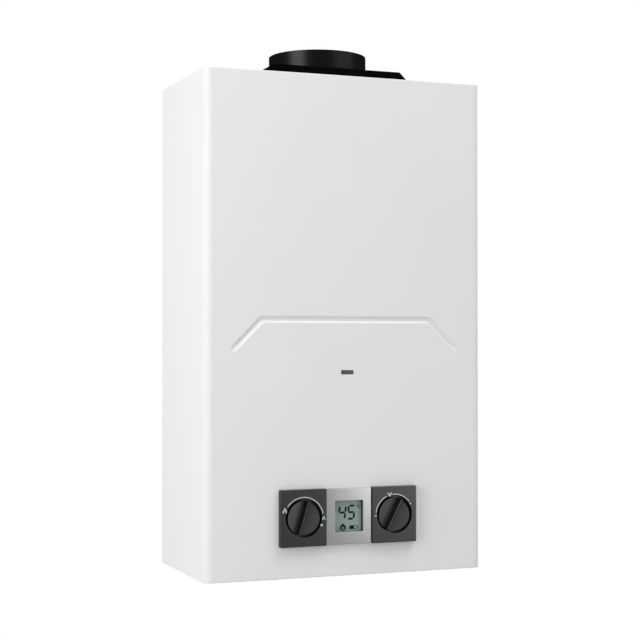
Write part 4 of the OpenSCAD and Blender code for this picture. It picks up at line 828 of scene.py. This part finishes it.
def stub(name, node, neck_top, bore_r, nut_top=None):
    """One stub, as loops from its open lower end up the outside and back down the bore."""
    low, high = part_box(node)
    x, y = (low.x + high.x) / 2, (low.y + high.y) / 2
    angles = [2 * math.pi * k / sides for k in range(sides)]

    def level(z, reach):
        return [(x + reach(a) * math.cos(a), y + reach(a) * math.sin(a), z) for a in angles]

    def hexagon(under, over, wide, corner_r, end_r):
        ends = ((under, end_r), (under + hex_bevel, corner_r), (over - hex_bevel, corner_r), (over, end_r))
        for z, round_r in ends:
            loops.append(level(z, lambda a, r=round_r: flats(wide, a, r)))

    thread_top, hex_top = foot - 1.7 * MM, foot + 1.3 * MM
    rows = 80
    loops = [level(low.z, lambda a: bore_r)]
    for k in range(rows + 1):
        z = low.z + (thread_top - low.z) * k / rows
        open_end = min(1.0, (z - low.z) / (1.3 * MM))

        def crest(a, z=z, open_end=open_end):
            wave = 0.5 - 0.5 * math.cos(2 * math.pi * (z / pitch - a / (2 * math.pi)))
            return thread_r - thread_deep * max(wave, 1 - open_end)
        loops.append(level(z, crest))
    hexagon(thread_top, hex_top, hex_w, hex_corner, hex_end)
    loops.append(level(hex_top, lambda a: neck_r))
    loops.append(level(neck_top, lambda a: neck_r))
    if nut_top is not None:
        hexagon(neck_top, nut_top, nut_w, nut_corner, nut_end)
    loops.append(level(high.z, lambda a: bore_r))
    return piece(name, skin(name, loops, ring=True), "casing", "brass", node, materials=[brass])


for node in ("gas_inlet_stub", "cold_inlet_stub", "hot_outlet_stub"):
    low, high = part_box(node)
    if node == "hot_outlet_stub":
        stub(node + "_threaded", node, foot + 22 * MM, 7.2 * MM, high.z)
    else:
        stub(node + "_threaded", node, high.z, 7.5 * MM)


# Cover screws: zinc-plated steel with low pan heads, driven up through the cover's lower lip.
# A cross for the screwdriver is pressed into each head.
def cross_depth(x, y):
    """How deep the pressed cross is at a place on the head."""
    wide, arm, deep = 0.62 * MM, 2.3 * MM, 0.6 * MM
    along_y = min(1 - abs(x) / wide, 1 - abs(y) / arm)
    along_x = min(1 - abs(y) / wide, 1 - abs(x) / arm)
    return deep * min(1.0, 2.2 * max(along_x, along_y, 0.0))


low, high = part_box("cover_screws")
head_r, head_top, head_low = 4 * MM, foot - 0.02 * MM, foot - 1.0 * MM
head_flat, head_round, shank_r, head_points = 3.1 * MM, 0.9 * MM, 2 * MM, 48
profile = [(0.15 * MM, head_low)]
profile += [(head_flat * k / 14, head_low) for k in range(1, 15)]
for k in range(1, 6):
    a = math.radians(90 * k / 5)
    profile.append((head_flat + head_round * math.sin(a), head_low + head_round * (1 - math.cos(a))))
profile += [(head_r, head_top), (shank_r, head_top), (shank_r, high.z)]
centres = [(sx * px * MM, py * MM) for px, py in ((82, -160), (156, -44)) for sx in (-1, 1)]
heads = bmesh.new()
for cx, cy in centres:
    rings = []
    for radius, z in profile:
        ring = circle(radius, z, (cx, cy), head_points)
        if z == head_low:
            ring = [(px, py, pz + cross_depth(px - cx, py - cy)) for px, py, pz in ring]
        rings.append(ring)
    part = skin("head", rings)
    heads.from_mesh(part)
    bpy.data.meshes.remove(part)
ends = [e for e in heads.edges if e.is_boundary]
bmesh.ops.holes_fill(heads, edges=ends, sides=head_points)
head_mesh = bpy.data.meshes.new("cover_screws_headed")
heads.to_mesh(head_mesh)
heads.free()
piece("cover_screws_headed", head_mesh, "casing", "zinc_screws", "cover_screws", materials=[zinc_plate])


# Thermostats, switch, igniter box and battery case: black phenolic mouldings, clipped or screwed on.
# The press leaves a faint swirl in the black.
bakelite, tree = finish("phenolic moulding")
place = add(tree, "TexCoord").outputs["Object"]
swirl = add(tree, "TexNoise", {"Vector": place, "Scale": 1 / (9 * MM), "Detail": 4.0, "Distortion": 0.8})
tone = add(tree, "Mix", {0: swirl.outputs[0], 6: linear("#161514"), 7: linear("#26231F")}, data_type="RGBA")
shader = add(tree, "BsdfPrincipled", {"Base Color": tone.outputs[2], "Roughness": 0.4})
add(tree, "OutputMaterial", {0: shader.outputs[0]})
dress(bakelite, "spill_thermostat", "overheat_thermostat", "micro_switch", "ignition_box", "battery_case")


# Display board: glass-fibre laminate under green solder mask, screwed to the panel's carrier.
# Its weave shows through the mask as a fine check.
circuit_board, tree = finish("solder masked laminate")
place = add(tree, "TexCoord").outputs["Object"]
weave = add(tree, "TexChecker", {
    "Vector": place,
    "Color1": linear("#1B4A2E"),
    "Color2": linear("#235A38"),
    "Scale": 1 / (0.8 * MM),
})
shader = add(tree, "BsdfPrincipled", {"Base Color": weave.outputs[0], "Roughness": 0.35})
add(tree, "OutputMaterial", {0: shader.outputs[0]})
dress(circuit_board, "display_board")


# Electrodes: fired alumina sleeves that hold the spark pin and the flame probe, clamped in a bracket.
# The glaze is thin, so the white is faintly speckled.
ceramic = mottled("fired alumina", 0.7 * MM, 3.0, ("#D9D4C8", "#F0ECE2"), 0.35)
dress(ceramic, "spark_electrode", "flame_probe")


# Leads: ignition wire in an extruded silicone cover, pushed on to the electrodes.
# A dusty bloom lies over its dark red-brown.
lead_rubber = mottled("silicone lead", 3 * MM, 3.0, ("#5A1F1A", "#722B24"), 0.55)
dress(lead_rubber, "spark_lead", "probe_lead")


# Solenoid: a deep-drawn and plated steel can round the coil, screwed to the gas valve.
# The drawing leaves a fine texture in its sheen.
solenoid_steel = mottled("drawn steel can", 1.2 * MM, 3.0, ("#8F9092", "#B2B3B5"), 0.36, {"Metallic": 1.0})
dress(solenoid_steel, "gas_solenoid")


# Poppet and diaphragm: nitrile rubber, pressed in a hot mould and held between the valves' halves.
# It is matt black with a faint grey bloom.
valve_rubber = mottled("nitrile rubber", 4 * MM, 3.0, ("#151515", "#242424"), 0.75,
                       {"Specular IOR Level": 0.3})
dress(valve_rubber, "gas_poppet", "diaphragm")


# Battery cells: plain steel cans in a printed jacket, pushed up between the case's contacts.
# The print is dark, with a copper-toned band towards one end.
low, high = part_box("battery_cells")
cell_jacket, tree = finish("printed cell jacket")
place = add(tree, "TexCoord").outputs["Object"]
axes = add(tree, "SeparateXYZ", {0: place})
band = add(tree, "MapRange", {
    0: axes.outputs[2],
    1: low.z + 0.66 * (high.z - low.z),
    2: low.z + 0.67 * (high.z - low.z),
    3: 0.0,
    4: 1.0,
})
foil = add(tree, "TexNoise", {"Vector": place, "Scale": 1 / (0.5 * MM), "Detail": 2.0})
dark = add(tree, "Mix", {0: foil.outputs[0], 6: linear("#1B1C1E"), 7: linear("#232427")}, data_type="RGBA")
warm = add(tree, "Mix", {0: foil.outputs[0], 6: linear("#A8743E"), 7: linear("#B98449")}, data_type="RGBA")
tone = add(tree, "Mix", {0: band.outputs[0], 6: dark.outputs[2], 7: warm.outputs[2]}, data_type="RGBA")
shader = add(tree, "BsdfPrincipled", {
    "Base Color": tone.outputs[2],
    "Metallic": band.outputs[0],
    "Roughness": 0.3,
})
add(tree, "OutputMaterial", {0: shader.outputs[0]})
dress(cell_jacket, "battery_cells")


# Studio: an even white room with a plain floor some 1.5 m below the heater, which hangs as on a wall.
# A tall soft lamp stands at the left and a wide one high at the right.
# Three cards show only as sheen, one on the panel and two on the collar.
def seen_by_eye(tree):
    """One for a ray that shows a thing to the eye, and nothing for a ray that only lights."""
    rays = add(tree, "LightPath").outputs
    share = rays["Is Camera Ray"]
    for kind in ("Is Glossy Ray", "Is Transmission Ray"):
        share = add(tree, "Math", {0: share, 1: rays[kind]}, operation="MAXIMUM").outputs[0]
    return share


room_white, tree = finish("studio white")
grey = add(tree, "BsdfDiffuse", {"Color": linear("#E6E6E6")})
lift = add(tree, "Math", {0: seen_by_eye(tree), 1: 0.6}, operation="MULTIPLY")
glow = add(tree, "Emission", {"Color": linear("#FFFFFF"), "Strength": lift.outputs[0]})
both = add(tree, "AddShader", {0: grey.outputs[0], 1: glow.outputs[0]})
add(tree, "OutputMaterial", {0: both.outputs[0]})
hang_height, reach = 1.485, 6.0
floor_z = cad_low.z - hang_height
ground = bpy.data.meshes.new("floor")
corners = [(x * reach, y * reach, floor_z) for x, y in ((-1, -1), (1, -1), (1, 1), (-1, 1))]
ground.from_pydata(corners, [], [(0, 1, 2, 3)])
ground.materials.append(room_white)
floor = bpy.data.objects.new("floor", ground)
bpy.context.scene.collection.objects.link(floor)

world = bpy.data.worlds.new("white room")
world.use_nodes = True
world.node_tree.nodes.clear()
bpy.context.scene.world = world
tree = world.node_tree
level = add(tree, "MapRange", {0: seen_by_eye(tree), 3: 0.535, 4: 1.0})
sky = add(tree, "Background", {"Color": linear("#FFFFFF"), "Strength": level.outputs[0]})
add(tree, "OutputWorld", {0: sky.outputs[0]})


def aim(made, target):
    """Points an object's view or light at a place."""
    made.rotation_euler = (Vector(target) - made.location).to_track_quat("-Z", "Y").to_euler()


def lamp(name, place, target, wide, tall, power):
    """A soft lamp that the camera doesn't see."""
    light = bpy.data.lights.new(name, "AREA")
    light.shape = "RECTANGLE"
    light.size, light.size_y, light.energy = wide, tall, power
    made = bpy.data.objects.new(name, light)
    made.location = place
    made.visible_camera = False
    bpy.context.scene.collection.objects.link(made)
    aim(made, target)
    return made


lamp("key lamp", (-1.2, -0.6, 0.25), (0, -0.09, 0.05), 0.6, 1.4, 9.3)
lamp("top lamp", (0.75, -1.04, 2.4), (0, -0.17, 0.05), 1.8, 1.1, 33.5)
card = lamp("panel card", (0.55, -0.67, -0.12), (0.05, -0.17, -0.19), 0.7, 0.4, 2.6)
card.visible_diffuse = False
for across, forward, wide, power in ((-1.33, -0.6, 0.95, 23), (0.74, -0.86, 1.0, 6.4)):
    strip = lamp("collar card", (across, forward, 0.64), (0, -0.09, 0.3), wide, 0.6, power)
    strip.visible_diffuse = False

lens = bpy.data.cameras.new("camera")
lens.lens, lens.sensor_width = 84.883, 36
camera = bpy.data.objects.new("camera", lens)
camera.location = (-0.6317, -1.7041, -0.0187)
bpy.context.scene.collection.objects.link(camera)
aim(camera, (-0.001935, -0.090, 0.00652))
bpy.context.scene.camera = camera
bpy.context.scene.view_settings.view_transform = "Standard"
